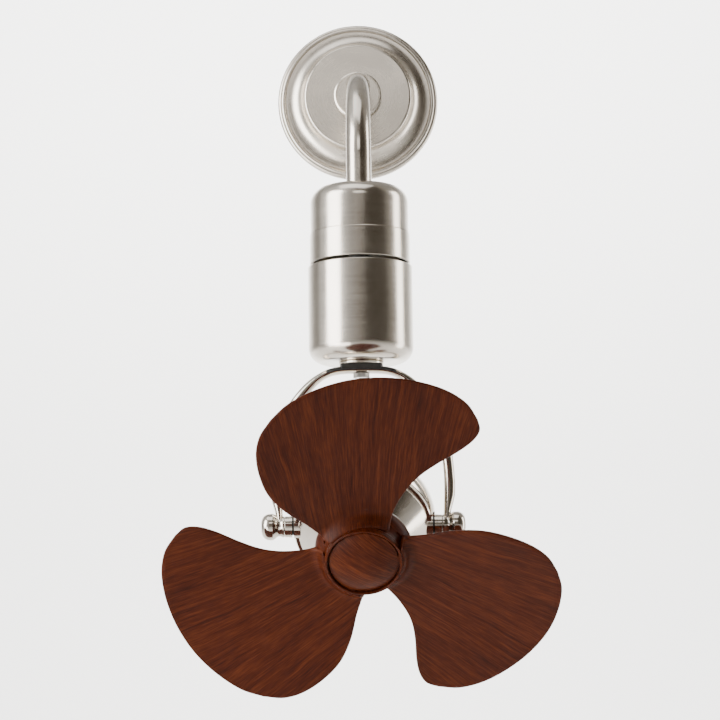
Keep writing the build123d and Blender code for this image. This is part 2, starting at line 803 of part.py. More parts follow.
def pivot_washers():
    washer = tube(washer_d / 2, pivot_bolt_d / 2 + slip_gap, boss_face_x, boss_face_x + washer_t)
    return Compound(children=[pivot_plane(side) * washer for side in (1, -1)])


def pivot_collars():
    """Two thin rings and a short collar turned in one piece."""
    low = boss_face_x + washer_t
    ring_r = pivot_ring_d / 2
    neck_r = neck_collar_d / 2
    first = low + pivot_ring_t
    second = first + pivot_ring_t
    high = second + neck_collar_t
    groove = 0.8
    collar = turned(
        [(pivot_bolt_d / 2 + slip_gap, low), (ring_r, low), (ring_r, first - 0.3),
         (ring_r - groove, first - 0.3), (ring_r - groove, first), (ring_r, first), (ring_r, second - 0.3),
         (ring_r - groove, second - 0.3), (ring_r - groove, second), (neck_r, second),
         (neck_r, high), (pivot_bolt_d / 2 + slip_gap, high)],
        [(10, 0.5)],
    )
    return Compound(children=[pivot_plane(side) * collar for side in (1, -1)])


def knob_start():
    return boss_face_x + washer_t + 2 * pivot_ring_t + neck_collar_t + eye_w + 2 * part_gap


def pivot_knobs():
    low = knob_start()
    high = low + knob_l
    radius = knob_d / 2
    knob = turned(
        [(0, low), (radius, low), (radius, high), (0, high)],
        [(2, knob_l * 0.72)],
    )
    knob -= rod(pivot_bolt_d / 2 + slip_gap, low - 1, low + 7)
    return Compound(children=[pivot_plane(side) * knob for side in (1, -1)])


def pivot_bolts():
    bolt = rod(pivot_bolt_d / 2, boss_face_x - 12, knob_start() + 6.5)
    return Compound(children=[pivot_plane(side) * bolt for side in (1, -1)])


# Motor housing

def bowl_dome():
    """Radius of the bowl's round back and the place of its centre on the axis."""
    side_x = bowl_d / 2 - bowl_corner_r
    flat = bowl_half_l - bowl_corner_r
    radius = (side_x ** 2 + bowl_half_l ** 2 - bowl_corner_r ** 2) / (2 * flat)
    return radius, bowl_centre - bowl_half_l + radius


def bowl_solid(wall):
    """Round-backed body: a dome that runs into a tighter corner, its skin set in by wall."""
    side_x = bowl_d / 2 - bowl_corner_r
    dome_r, dome_z = bowl_dome()
    join = math.degrees(math.atan2(bowl_centre - dome_z, side_x))
    corner = bowl_corner_r - wall
    end = math.degrees(math.asin((bowl_end - bowl_centre) / corner))
    dome = CenterArc((0, dome_z), dome_r - wall, -90, join + 90)
    side = CenterArc((side_x, bowl_centre), corner, join, end - join)
    return turned_edges(dome, side, Line(side @ 1, (0, bowl_end)), Line((0, bowl_end), dome @ 0))


def pivot_boss():
    """The two pivot bosses, in the fan's frame."""
    bosses = Rot(0, 90, 0) * rod(boss_d / 2, boss_face_x - 22, boss_face_x)
    return bosses + Rot(0, -90, 0) * rod(boss_d / 2, boss_face_x - 22, boss_face_x)


def pivot_spotface():
    """Room for the washers beside the bowl."""
    cut = Rot(0, 90, 0) * rod(boss_d / 2 + 2.0, boss_face_x, boss_face_x + 20)
    return cut + Rot(0, -90, 0) * rod(boss_d / 2 + 2.0, boss_face_x, boss_face_x + 20)


def pivot_bolt_hole():
    return Rot(0, 90, 0) * Cylinder(pivot_bolt_d / 2, 300) - Cylinder(boss_face_x - 13, 300)


def motor_cavity():
    """Room inside the bowl, with the columns, the core's ledge and the bearing seat left standing."""
    back = bowl_centre - bowl_half_l
    seat_low = rear_bearing_z()
    seat_high = seat_low + motor_bearing_w
    cavity = bowl_solid(bowl_wall)
    for x, y in ring_places(housing_column_pcd, 4, 45):
        cavity -= rod(housing_column_d / 2, back, bowl_end + 1, x, y)
    cavity -= tube(bowl_d / 2, stator_d / 2 - 5, stator_back - 3, stator_back)
    cavity -= rod(motor_bearing_d / 2 + 4, back, seat_high)
    cavity += rod(motor_bearing_d / 2, seat_low, seat_high)
    cavity += rod(shaft_d / 2 + 2, seat_low - 4, seat_high)
    cavity += rod(stator_d / 2 + slip_gap, stator_back, bowl_end)
    return cavity


def rear_bearing_z():
    return stator_back - motor_bearing_w - 14


def rear_shell():
    back = bowl_centre - bowl_half_l
    shell = bowl_solid(0) - motor_cavity()
    for x, y in ring_places(housing_column_pcd, 4, 45):
        shell -= rod(2.2, back, bowl_end + 1, x, y)
        shell -= rod(4.2, back, stator_back - 10, x, y)
    shell -= pivot_spotface()
    shell += pivot_boss() - rod(stator_d / 2 + slip_gap, -40, 20)
    shell -= pivot_bolt_hole()
    shell -= grommet_place() * Cylinder(5.0, 30)
    return FAN * shell


def grommet_place():
    """Where the motor lead enters, high on the round back of the bowl, square to its skin."""
    dome_r, dome_z = bowl_dome()
    reach = dome_r - bowl_wall / 2
    lean = math.radians(grommet_lean)
    y = reach * math.cos(lean)
    z = dome_z - reach * math.sin(lean)
    return Pos(0, y, z) * Rot(-90 - grommet_lean, 0, 0)


def cable_grommet():
    bush = turned(
        [(2.6, -5.0), (7.0, -5.0), (7.0, -2.4), (4.9, -2.4), (4.9, 2.4), (6.4, 2.4), (6.4, 3.8), (2.6, 3.8)],
        [(1, 0.8), (2, 0.6)],
    )
    return FAN * grommet_place() * bush


def trim_ring():
    outer = trim_d / 2
    low = bowl_end
    high = bowl_end + trim_l
    third = trim_l / 3
    groove = 0.6
    body = turned(
        [(outer - trim_w, low), (outer, low), (outer, low + third - 0.25),
         (outer - groove, low + third), (outer, low + third + 0.25), (outer, low + 2 * third - 0.25),
         (outer - groove, low + 2 * third), (outer, low + 2 * third + 0.25), (outer, high - 0.8),
         (outer - 0.8, high), (outer - trim_w, high)],
    )
    body -= pivot_clear_cut()
    return FAN * body


def pivot_clear_cut():
    """The pivot bosses with a hair of room, cut out of the rings round them."""
    cut = Rot(0, 90, 0) * rod(boss_d / 2 + part_gap, 50, 100)
    return cut + Rot(0, -90, 0) * rod(boss_d / 2 + part_gap, 50, 100)


def cone_solid(wall):
    low = bowl_end + trim_l
    high = low + cone_l
    back = cone_back_d / 2 - wall * 1.4
    front = cone_front_d / 2 - wall * 1.4
    return turned(
        [(0, low), (back, low), (front, high), (0, high)],
        [(1, 1.5), (2, 2.5)] if wall == 0 else (),
    )


def front_cone():
    low = bowl_end + trim_l
    high = low + cone_l
    inner_r = trim_d / 2 - trim_w - part_gap
    body = cone_solid(0) + tube(inner_r, inner_r - 4, bowl_end, low + 1)
    body -= Pos(0, 0, -cone_wall) * cone_solid(cone_wall)
    outer = cone_solid(0) + rod(inner_r, bowl_end, low)
    for x, y in ring_places(housing_column_pcd, 4, 45):
        body += rod(housing_column_d / 2, bowl_end, high, x, y) & outer
        body -= rod(2.0, bowl_end - 1, bowl_end + 9, x, y)
    seat = motor_bearing_d / 2
    body -= rod(stator_d / 2, low - 20, stator_back + stator_l)
    body += tube(seat + 4, seat, high - cone_wall - motor_bearing_w, high)
    body -= rod(seat, high - motor_bearing_w - cone_wall - 1, high + 1)
    body -= pivot_clear_cut()
    return FAN * body


def front_plate():
    low = bowl_end + trim_l + cone_l
    outer = front_plate_d / 2
    body = turned(
        [(shaft_d / 2 + 1.0, low), (outer, low), (outer, low + front_plate_t - 1.5),
         (outer - 1.5, low + front_plate_t), (shaft_d / 2 + 1.0, low + front_plate_t)],
    )
    return FAN * body


def housing_screws():
    head_z = stator_back - 10
    screws = [Pos(x, y, head_z) * Rot(180, 0, 0) * pan_screw(4.0, bowl_end - head_z + 7)
              for x, y in ring_places(housing_column_pcd, 4, 45)]
    return FAN * Compound(children=screws)


# Motor inside

def stator_core():
    high = stator_back + stator_l
    bore = rotor_d / 2 + air_gap
    core = tube(stator_d / 2, bore, stator_back, high)
    slot = rod(5.0, stator_back - 1, high + 1, bore + 11, 0)
    mouth = Pos(bore + 4, 0, (stator_back + high) / 2) * Box(10, 2.6, stator_l + 2)
    for k in range(slot_count):
        core -= Rot(0, 0, 360 * (k + 0.5) / slot_count) * (slot + mouth)
    return FAN * core


def stator_windings():
    """End turns on both faces of the core."""
    bore = rotor_d / 2 + air_gap
    inner = bore + 4
    outer = bore + 20
    turns = []
    for low, high in ((stator_back - 10, stator_back), (stator_back + stator_l, stator_back + stator_l + 10)):
        ring = turned([(inner, low), (outer, low), (outer, high), (inner, high)],
                      [(0, 4.0), (1, 4.0)] if low < stator_back else [(2, 4.0), (3, 4.0)])
        turns.append(ring)
    return FAN * Compound(children=turns)


def rotor_core():
    return FAN * tube(rotor_d / 2, shaft_d / 2, stator_back, stator_back + stator_l)


def rear_motor_bearing():
    low = rear_bearing_z()
    return FAN * ball_bearing(shaft_d / 2 + slip_gap, motor_bearing_d / 2, motor_bearing_w, low)


def front_motor_bearing():
    low = bowl_end + trim_l + cone_l - motor_bearing_w
    return FAN * ball_bearing(shaft_d / 2 + slip_gap, motor_bearing_d / 2, motor_bearing_w, low)


def motor_shaft():
    low = rear_bearing_z() - 2
    seat = hub_back + 5.0
    body = turned([
        (0, low), (shaft_d / 2, low), (shaft_d / 2, seat), (shaft_thread_d / 2, seat),
        (shaft_thread_d / 2, hub_solid_front + 8), (0, hub_solid_front + 8),
    ], [(1, 0.8), (4, 0.8)])
    return FAN * body


# Impeller

def blade_height(x, y):
    """Forward height of the blade's front face above the blade plane."""
    pitch = (blade_pitch_slope + blade_pitch_twist * y) * x
    rise = blade_rise_slope * y + blade_rise_curve * y ** 2
    return pitch + rise + blade_camber * x ** 2


def blade_slab(extra):
    """Curved slab that holds the whole blade; extra thickens it on both faces."""
    sections = []
    half_w = blade_tip_r * 0.66
    for share in (0.02, 0.3, 0.58, 0.82, 1.06):
        y = blade_tip_r * share
        thickness = blade_root_t + (blade_tip_t - blade_root_t) * share
        front = [(x, blade_height(x, y) + extra) for x in (-half_w, 0, half_w)]
        back = [(x, height - thickness - 2 * extra) for x, height in front]
        outline = Curve() + [
            ThreePointArc(*front),
            Line(front[-1], back[-1]),
            ThreePointArc(*reversed(back)),
            Line(back[0], front[0]),
        ]
        sections.append(Plane(origin=(0, y, blade_plane), x_dir=(1, 0, 0), z_dir=(0, -1, 0)) * make_face(outline))
    return loft(sections)


def scaled(points):
    return [(x * outline_scale, y * outline_scale) for x, y in points]


def blade_root_face(gap):
    """Seat of the blade in the hub: the part round the rim and the tab that reaches inward."""
    root = make_face(Polyline(*scaled(blade_root_outline), close=True))
    root = offset(root, gap) if gap else root
    tab_l = blade_seat_r - blade_tab_r + 6
    tab = Pos(0, blade_tab_r - gap + tab_l / 2, 0) * Rectangle(blade_tab_w + 2 * gap, tab_l)
    return root - Circle(blade_seat_r - gap) + tab


def blade_body():
    """One blade pointing along Y, in the fan's frame."""
    outline = scaled(blade_outline)
    planform = make_face(Curve() + [Spline(*outline), Line(outline[-1], outline[0])])
    face = planform - Circle(blade_seat_r) + blade_root_face(0)
    prism = Pos(0, 0, blade_plane - 60) * extrude(face, 130)
    body = blade_slab(0) & prism
    for x, y in blade_screw_places():
        body -= rod(2.1, blade_plane - 30, blade_plane + 30, x, y)
    return body


def blade_screw_places():
    return ((-9.0, 29.0), (9.0, 29.0))


def blade(number):
    return FAN * Rot(0, 0, 120 * (number - 1)) * blade_body()


def blade_hub():
    back_r = hub_back_d / 2
    lip_r = hub_lip_d / 2
    cap_r = hub_cap_d / 2
    inner = cap_r + hub_groove_w / 2
    flare = Spline((back_r, hub_back + 1.5), (back_r - 3.4, hub_back + 11), (lip_r - 1.0, hub_lip_z - 5.0),
                   tangents=[(0, 1), (-0.25, 1)])
    body = turned_edges(
        Line((0, hub_back + 3), (back_r - 6, hub_back + 3)),
        Line((back_r - 6, hub_back + 3), (back_r - 6, hub_back)),
        Line((back_r - 6, hub_back), (back_r - 1.2, hub_back)),
        Line((back_r - 1.2, hub_back), (back_r, hub_back + 1.5)),
        flare,
        SagittaArc((lip_r - 1.0, hub_lip_z - 5.0), (inner, hub_lip_z + 2.4), -1.8),
        Line((inner, hub_lip_z + 2.4), (inner, hub_lip_z - hub_groove_depth)),
        Line((inner, hub_lip_z - hub_groove_depth), (cap_r - 3.0, hub_lip_z - hub_groove_depth)),
        Line((cap_r - 3.0, hub_lip_z - hub_groove_depth), (cap_r - 3.0, hub_solid_front)),
        Line((cap_r - 3.0, hub_solid_front), (0, hub_solid_front)),
        Line((0, hub_solid_front), (0, hub_back + 3)),
    )
    body -= rod(shaft_d / 2 + slip_gap, hub_back - 5, hub_back + 5)
    body -= rod(shaft_thread_d / 2 + slip_gap, hub_back - 5, hub_solid_front + 5)
    slot_face = blade_root_face(part_gap)
    slot = blade_slab(part_gap) & (Pos(0, 0, blade_plane - 60) * extrude(slot_face, 130))
    for x, y in blade_screw_places():
        slot += rod(2.0, hub_back + 4, hub_solid_front + 5, x, y)
    for number in range(blade_count):
        body -= Rot(0, 0, 360 / blade_count * number) * slot
    return FAN * body


def blade_screws():
    screws = []
    for number in range(blade_count):
        for x, y in blade_screw_places():
            screw = Pos(x, y, hub_solid_front) * pan_screw(4.0, hub_solid_front - hub_back - 5)
            screws.append(Rot(0, 0, 360 / blade_count * number) * screw)
    return FAN * Compound(children=screws)


def hub_nut():
    nut = hex_nut(shaft_thread_d, 6.0, shaft_thread_d / 2 + slip_gap)
    return FAN * Pos(0, 0, hub_solid_front) * nut


def hub_cap_solid(radius, low, rim, rise):
    """Plug with a dome on top, the dome's centre on the axis."""
    dome_r = (radius ** 2 + rise ** 2) / (2 * rise)
    half_angle = math.degrees(math.asin(radius / dome_r))
    dome = CenterArc((0, rim + rise - dome_r), dome_r, 90 - half_angle, half_angle)
    return turned_edges(Line((0, low), (radius, low)), Line((radius, low), dome @ 0), dome,
                        Line(dome @ 1, (0, low)))


def hub_cap():
    radius = hub_cap_d / 2
    low = hub_lip_z - hub_groove_depth
    rim = hub_cap_seam - 0.6
    solid = hub_cap_solid(radius, low, rim, hub_cap_rise + 0.6)
    return FAN * (solid - hub_cap_solid(radius - hub_cap_wall, low - 1, rim - hub_cap_wall, hub_cap_rise))


PARTS = {
    "wall_plate": wall_plate,
    "arm_flange": arm_flange,
    "flange_screws": flange_screws,
    "flange_set_screw": flange_set_screw,
    "terminal_block": terminal_block,
    "run_capacitor": run_capacitor,
    "canopy": canopy,
    "canopy_collar": canopy_collar,
    "canopy_collar_screw": canopy_collar_screw,
    "arm_tube": arm_tube,
    "upper_cap": upper_cap,
    "arm_socket": arm_socket,
    "socket_pin": socket_pin,
    "middle_ring": middle_ring,
    "ring_screws": ring_screws,
    "spindle": spindle,
    "spindle_screws": spindle_screws,
    "sun_gear": sun_gear,
    "spindle_nut": spindle_nut,
    "lower_cup": lower_cup,
    "turntable": turntable,
    "turntable_screws": turntable_screws,
    "upper_bearing": upper_bearing,
    "lower_bearing": lower_bearing,
    "bracket_posts": bracket_posts,
    "motor_bracket": motor_bracket,
    "bracket_screws": bracket_screws,
    "swing_motor": swing_motor,
    "swing_motor_screws": swing_motor_screws,
    "drive_pinion": drive_pinion,
    "bottom_collar": bottom_collar,
    "saddle_pad": saddle_pad,
    "yoke": yoke,
    "yoke_bolt": yoke_bolt,
    "yoke_nut": yoke_nut,
    "pivot_washers": pivot_washers,
    "pivot_collars": pivot_collars,
    "pivot_knobs": pivot_knobs,
    "pivot_bolts": pivot_bolts,
    "rear_shell": rear_shell,
    "cable_grommet": cable_grommet,
    "trim_ring": trim_ring,
    "front_cone": front_cone,
    "front_plate": front_plate,
    "housing_screws": housing_screws,
    "stator_core": stator_core,
    "stator_windings": stator_windings,
    "rear_motor_bearing": rear_motor_bearing,
    "front_motor_bearing": front_motor_bearing,
    "rotor_core": rotor_core,
    "motor_shaft": motor_shaft,
    "blade_hub": blade_hub,
    "blade_1": lambda: blade(1),
    "blade_2": lambda: blade(2),
    "blade_3": lambda: blade(3),
    "blade_screws": blade_screws,
    "hub_nut": hub_nut,
    "hub_cap": hub_cap,
}


def main():
    os.makedirs("parts", exist_ok=True)
    for name, build in PARTS.items():
        export_step(build(), "parts/" + name + ".step")


main()
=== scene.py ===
import json
import logging
import math
from dataclasses import dataclass, field
from enum import Enum
from typing import Any, Sequence

import bpy
from mathutils import Euler, Matrix, Vector


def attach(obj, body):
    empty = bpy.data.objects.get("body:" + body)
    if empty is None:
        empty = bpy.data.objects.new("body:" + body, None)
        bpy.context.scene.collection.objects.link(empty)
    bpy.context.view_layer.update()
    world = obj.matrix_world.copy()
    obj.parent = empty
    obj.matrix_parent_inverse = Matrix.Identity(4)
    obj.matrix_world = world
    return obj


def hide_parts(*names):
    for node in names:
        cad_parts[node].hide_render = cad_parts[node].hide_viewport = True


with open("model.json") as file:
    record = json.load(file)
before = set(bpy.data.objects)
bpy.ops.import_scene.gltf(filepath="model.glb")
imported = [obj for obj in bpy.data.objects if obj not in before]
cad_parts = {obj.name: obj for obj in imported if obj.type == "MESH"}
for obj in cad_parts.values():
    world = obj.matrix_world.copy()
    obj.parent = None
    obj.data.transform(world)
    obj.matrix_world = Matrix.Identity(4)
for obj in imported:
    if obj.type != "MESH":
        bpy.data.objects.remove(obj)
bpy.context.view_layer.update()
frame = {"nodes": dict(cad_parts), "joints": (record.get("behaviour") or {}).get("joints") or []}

log = logging.getLogger("wall_fan")
MM = 0.001
Colour = tuple[float, float, float]
Point = tuple[float, float]
Cell = tuple[int, int]
Scales = tuple[float, float, float]
Socket = bpy.types.NodeSocket
Value = Socket | float


def joint(name: str) -> dict[str, Any]:
    """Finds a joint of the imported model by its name, with its place and axis at rest."""
    return next(entry for entry in frame["joints"] if entry["name"] == name)


PIVOT = Vector(joint("motor_tilt")["pos_m"])
FAN_AXIS = Vector(joint("impeller_spin")["axis"]).normalized()
FAN_TURN = math.atan2(-FAN_AXIS.y, FAN_AXIS.z)
SWING_FOOT = Vector((0.0, PIVOT.y, 0.0))


class Line(Enum):
    """The axis that a piece was turned, brushed or wound about."""

    WALL = "square out of the wall"
    SWING = "upright, through the swinging housing"
    FAN = "the fan's own axis"
    PIVOT = "across, through the two pivot knobs"

    def place(self) -> tuple[Vector, Euler]:
        """Gives the local frame whose Z is this axis.

        Returns:
            The frame's origin and its rotation.
        """
        if self is Line.WALL:
            return Vector((0.0, 0.0, 0.0)), Euler((math.radians(90), 0.0, 0.0))
        if self is Line.SWING:
            return SWING_FOOT, Euler((0.0, 0.0, 0.0))
        if self is Line.FAN:
            return PIVOT, Euler((FAN_TURN, 0.0, 0.0))
        return PIVOT, Euler((0.0, math.radians(90), 0.0))


NOISE_LOW = 0.3
NOISE_HIGH = 0.7
MIDWAY = 0.5


def set_stops(ramp: bpy.types.Node, stops: Sequence[tuple[float, Colour]]) -> None:
    """Sets the stops of a colour ramp.

    Args:
        ramp: the ramp's node.
        stops: position and colour of each stop, in order.
    """
    elements = ramp.color_ramp.elements
    while len(elements) < len(stops):
        elements.new(MIDWAY)
    for element, (position, colour) in zip(elements, stops):
        element.position = position
        element.color = (*colour, 1.0)


class Graph:
    """A small helper that lays out the nodes of one material."""

    def __init__(self, name: str) -> None:
        """Starts an empty material with its shader and output.

        Args:
            name: the material's name.
        """
        self.material = bpy.data.materials.new(name)
        self.material.use_nodes = True
        self.tree = self.material.node_tree
        self.tree.nodes.clear()
        self.shader = self.node("ShaderNodeBsdfPrincipled")
        output = self.node("ShaderNodeOutputMaterial")
        self.join(self.shader.outputs["BSDF"], output.inputs["Surface"])

    def node(self, kind: str, **settings: Any) -> bpy.types.Node:
        """Adds a node.

        Args:
            kind: the node's type name.
            settings: its properties.

        Returns:
            The new node.
        """
        made = self.tree.nodes.new(kind)
        for key, value in settings.items():
            setattr(made, key, value)
        return made

    def join(self, source: Socket, target: Socket) -> None:
        """Links one socket to another."""
        self.tree.links.new(source, target)

    def feed(self, target: Socket, value: Value) -> None:
        """Sets a socket to a number or links it to another socket.

        Args:
            target: the socket to set.
            value: a socket or a number.
        """
        if isinstance(value, Socket):
            self.join(value, target)
        else:
            target.default_value = value

    def work_out(self, operation: str, first: Value, second: Value = 0.0) -> Socket:
        """Does arithmetic on one or two values.

        Args:
            operation: the Math node's operation.
            first: a socket or a number.
            second: a socket or a number.

        Returns:
            The result's socket.
        """
        made = self.node("ShaderNodeMath", operation=operation)
        self.feed(made.inputs[0], first)
        self.feed(made.inputs[1], second)
        return made.outputs[0]

    def plus(self, first: Value, second: Value) -> Socket:
        """Adds two values."""
        return self.work_out("ADD", first, second)

    def times(self, first: Value, second: Value) -> Socket:
        """Multiplies two values."""
        return self.work_out("MULTIPLY", first, second)

    def vector(self, x: Value, y: Value, z: Value) -> Socket:
        """Joins three values into a vector.

        Args:
            x: a socket or a number.
            y: a socket or a number.
            z: a socket or a number.

        Returns:
            The vector's socket.
        """
        made = self.node("ShaderNodeCombineXYZ")
        for socket, value in zip(made.inputs, (x, y, z)):
            self.feed(socket, value)
        return made.outputs[0]

    def local(self, origin: Vector, turn: Euler) -> Socket:
        """Gives the point on the object in a frame of its own.

        Args:
            origin: the frame's origin, in the object's coordinates.
            turn: the frame's rotation.

        Returns:
            The local position's socket, in metres.
        """
        place = self.node("ShaderNodeTexCoord")
        mapping = self.node("ShaderNodeMapping", vector_type="TEXTURE")
        mapping.inputs["Location"].default_value = origin
        mapping.inputs["Rotation"].default_value = turn
        self.join(place.outputs["Object"], mapping.inputs["Vector"])
        return mapping.outputs["Vector"]

    def split(self, vector: Socket) -> tuple[Socket, ...]:
        """Splits a vector into its three values.

        Args:
            vector: the vector's socket.

        Returns:
            The sockets of x, y and z.
        """
        made = self.node("ShaderNodeSeparateXYZ")
        self.join(vector, made.inputs[0])
        return tuple(made.outputs)

    def noise(self, vector: Socket, scale: float, detail: float = 3.0,
              roughness: float = 0.55, distortion: float = 0.0) -> Socket:
        """Adds a noise texture.

        Args:
            vector: where it is read.
            scale: its scale.
            detail: how many finer layers it has.
            roughness: the strength of the finer layers.
            distortion: how much it folds.

        Returns:
            The noise value's socket.
        """
        made = self.node("ShaderNodeTexNoise")
        self.join(vector, made.inputs["Vector"])
        made.inputs["Scale"].default_value = scale
        made.inputs["Detail"].default_value = detail
        made.inputs["Roughness"].default_value = roughness
        made.inputs["Distortion"].default_value = distortion
        return made.outputs["Fac"]

    def spread(self, value: Socket, low: float, high: float) -> Socket:
        """Maps the middle of a noise value onto a range.

        Args:
            value: the noise value's socket.
            low: the result for a low value.
            high: the result for a high value.

        Returns:
            The result's socket.
        """
        made = self.node("ShaderNodeMapRange")
        self.join(value, made.inputs["Value"])
        made.inputs["From Min"].default_value = NOISE_LOW
        made.inputs["From Max"].default_value = NOISE_HIGH
        made.inputs["To Min"].default_value = low
        made.inputs["To Max"].default_value = high
        return made.outputs["Result"]

    def stretched(self, scales: Scales, along: Sequence[Socket]) -> Socket:
        """Stretches a place in metres by its own factor along each axis."""
        return self.vector(*(self.times(value, scale) for value, scale in zip(along, scales)))

    def ramp(self, value: Socket, stops: Sequence[tuple[float, Colour]]) -> Socket:
        """Turns a value into a colour.

        Args:
            value: the value's socket.
            stops: position and colour of each stop, in order.

        Returns:
            The colour's socket.
        """
        made = self.node("ShaderNodeValToRGB")
        set_stops(made, stops)
        self.join(value, made.inputs["Fac"])
        return made.outputs["Color"]

    def bump(self, height: Socket, strength: float, distance: float) -> None:
        """Adds fine relief to the shader.

        Args:
            height: the relief's height.
            strength: how strongly it shows.
            distance: its depth in metres.
        """
        made = self.node("ShaderNodeBump")
        made.inputs["Strength"].default_value = strength
        made.inputs["Distance"].default_value = distance
        self.join(height, made.inputs["Height"])
        self.join(made.outputs["Normal"], self.shader.inputs["Normal"])


def shade(colour: Colour, factor: float) -> Colour:
    """Makes a colour darker or lighter."""
    return tuple(min(1.0, channel * factor) for channel in colour)


@dataclass(frozen=True)
class TurnedMetal:
    """Metal with the fine rings that turning, brushing or polishing leaves round an axis."""

    name: str
    line: Line
    colour: Colour
    roughness: float = 0.3
    streak: float = 0.12
    streaks_per_metre: float = 2600.0
    relief: float = 0.06
    round_scale: float = 2.5
    axis_r: float = 0.0005
    broad_scale: float = 0.12
    fine_share: float = 0.6
    broad_share: float = 0.4
    light_share: float = 0.7
    handled_scale: float = 18.0
    handled_low: float = -0.12
    handled_high: float = 0.18
    shinier: float = 0.85
    duller: float = 1.15
    relief_depth: float = 0.0002

    def material(self) -> bpy.types.Material:
        """Builds the material.

        Returns:
            The material.
        """
        graph = Graph(self.name)
        origin, turn = self.line.place()
        point = graph.local(origin, turn)
        x, y, z = graph.split(point)
        radius = graph.work_out("SQRT", graph.plus(graph.times(x, x), graph.times(y, y)))
        safe = graph.work_out("MAXIMUM", radius, self.axis_r)
        along = graph.times(graph.plus(z, radius), self.streaks_per_metre)
        rings = graph.vector(along, graph.times(graph.work_out("DIVIDE", x, safe), self.round_scale),
                             graph.times(graph.work_out("DIVIDE", y, safe), self.round_scale))
        fine = graph.noise(rings, 1.0, detail=2.0, roughness=0.6)
        broad = graph.noise(rings, self.broad_scale, detail=3.0, roughness=0.6)
        both = graph.plus(graph.times(fine, self.fine_share), graph.times(broad, self.broad_share))
        handled = graph.noise(point, self.handled_scale, detail=4.0, roughness=0.6, distortion=0.4)
        colour = graph.ramp(graph.spread(both, 0.0, 1.0), [
            (0.0, shade(self.colour, 1.0 - self.streak)),
            (0.5, self.colour),
            (1.0, shade(self.colour, 1.0 + self.streak * self.light_share)),
        ])
        graph.join(colour, graph.shader.inputs["Base Color"])
        rough = graph.plus(
            graph.spread(both, self.roughness * self.shinier, self.roughness * self.duller),
            graph.spread(handled, self.roughness * self.handled_low, self.roughness * self.handled_high))
        graph.join(rough, graph.shader.inputs["Roughness"])
        graph.shader.inputs["Metallic"].default_value = 1.0
        graph.bump(both, self.relief, self.relief_depth)
        return graph.material


@dataclass(frozen=True)
class PlainMetal:
    """Plated, ground or cast metal with a fine grain and dull patches."""

    name: str
    colour: Colour
    roughness: float = 0.35
    grain: float = 900.0
    relief: float = 0.05
    patch: float = 0.12
    patch_scale: float = 45.0
    shinier: float = 0.8
    duller: float = 1.2
    grain_rough: float = 0.03
    relief_depth: float = 0.0002

    def material(self) -> bpy.types.Material:
        """Builds the material.

        Returns:
            The material.
        """
        graph = Graph(self.name)
        point = graph.local(Vector((0.0, 0.0, 0.0)), Euler((0.0, 0.0, 0.0)))
        grain = graph.noise(point, self.grain, detail=3.0)
        patches = graph.noise(point, self.patch_scale, detail=4.0, roughness=0.6, distortion=0.5)
        colour = graph.ramp(graph.spread(patches, 0.0, 1.0), [
            (0.0, shade(self.colour, 1.0 - self.patch)),
            (1.0, shade(self.colour, 1.0 + self.patch)),
        ])
        graph.join(colour, graph.shader.inputs["Base Color"])
        rough = graph.plus(graph.spread(patches, self.roughness * self.shinier, self.roughness * self.duller),
                          graph.spread(grain, -self.grain_rough, self.grain_rough))
        graph.join(rough, graph.shader.inputs["Roughness"])
        graph.shader.inputs["Metallic"].default_value = 1.0
        graph.bump(grain, self.relief, self.relief_depth)
        return graph.material


@dataclass(frozen=True)
class LayeredMetal:
    """Stacked sheet or wound wire: fine even lines across an axis, with painted shade in each groove and a
    painted highlight on each crest.
    """

    name: str
    line: Line
    dark: Colour
    light: Colour
    lines_per_metre: float
    roughness: float = 0.45
    waver: float = 1.5
    waver_scale: float = 60.0
    light_stop: float = 0.45
    # How much lighter than the light colour the painted highlight on each crest is.
    crest_highlight: float = 1.15
    shinier: float = 0.85
    duller: float = 1.2
    relief: float = 0.35
    relief_depth: float = 0.0003

    def material(self) -> bpy.types.Material:
        """Builds the material.

        Returns:
            The material.
        """
        graph = Graph(self.name)
        origin, turn = self.line.place()
        point = graph.local(origin, turn)
        height = graph.split(point)[2]
        soft = graph.noise(point, self.waver_scale, detail=3.0)
        turns = graph.times(height, self.lines_per_metre * math.tau)
        phase = graph.plus(turns, graph.times(soft, self.waver))
        wave = graph.plus(graph.times(graph.work_out("SINE", phase), 0.5), 0.5)
        # Painted shade and highlight: darkest in the grooves of the relief, lightest on its crests.
        colour = graph.ramp(wave, [
            (0.0, self.dark),
            (self.light_stop, self.light),
            (1.0, shade(self.light, self.crest_highlight)),
        ])
        graph.join(colour, graph.shader.inputs["Base Color"])
        rough = graph.spread(soft, self.roughness * self.shinier, self.roughness * self.duller)
        graph.join(rough, graph.shader.inputs["Roughness"])
        graph.shader.inputs["Metallic"].default_value = 1.0
        graph.bump(wave, self.relief, self.relief_depth)
        return graph.material


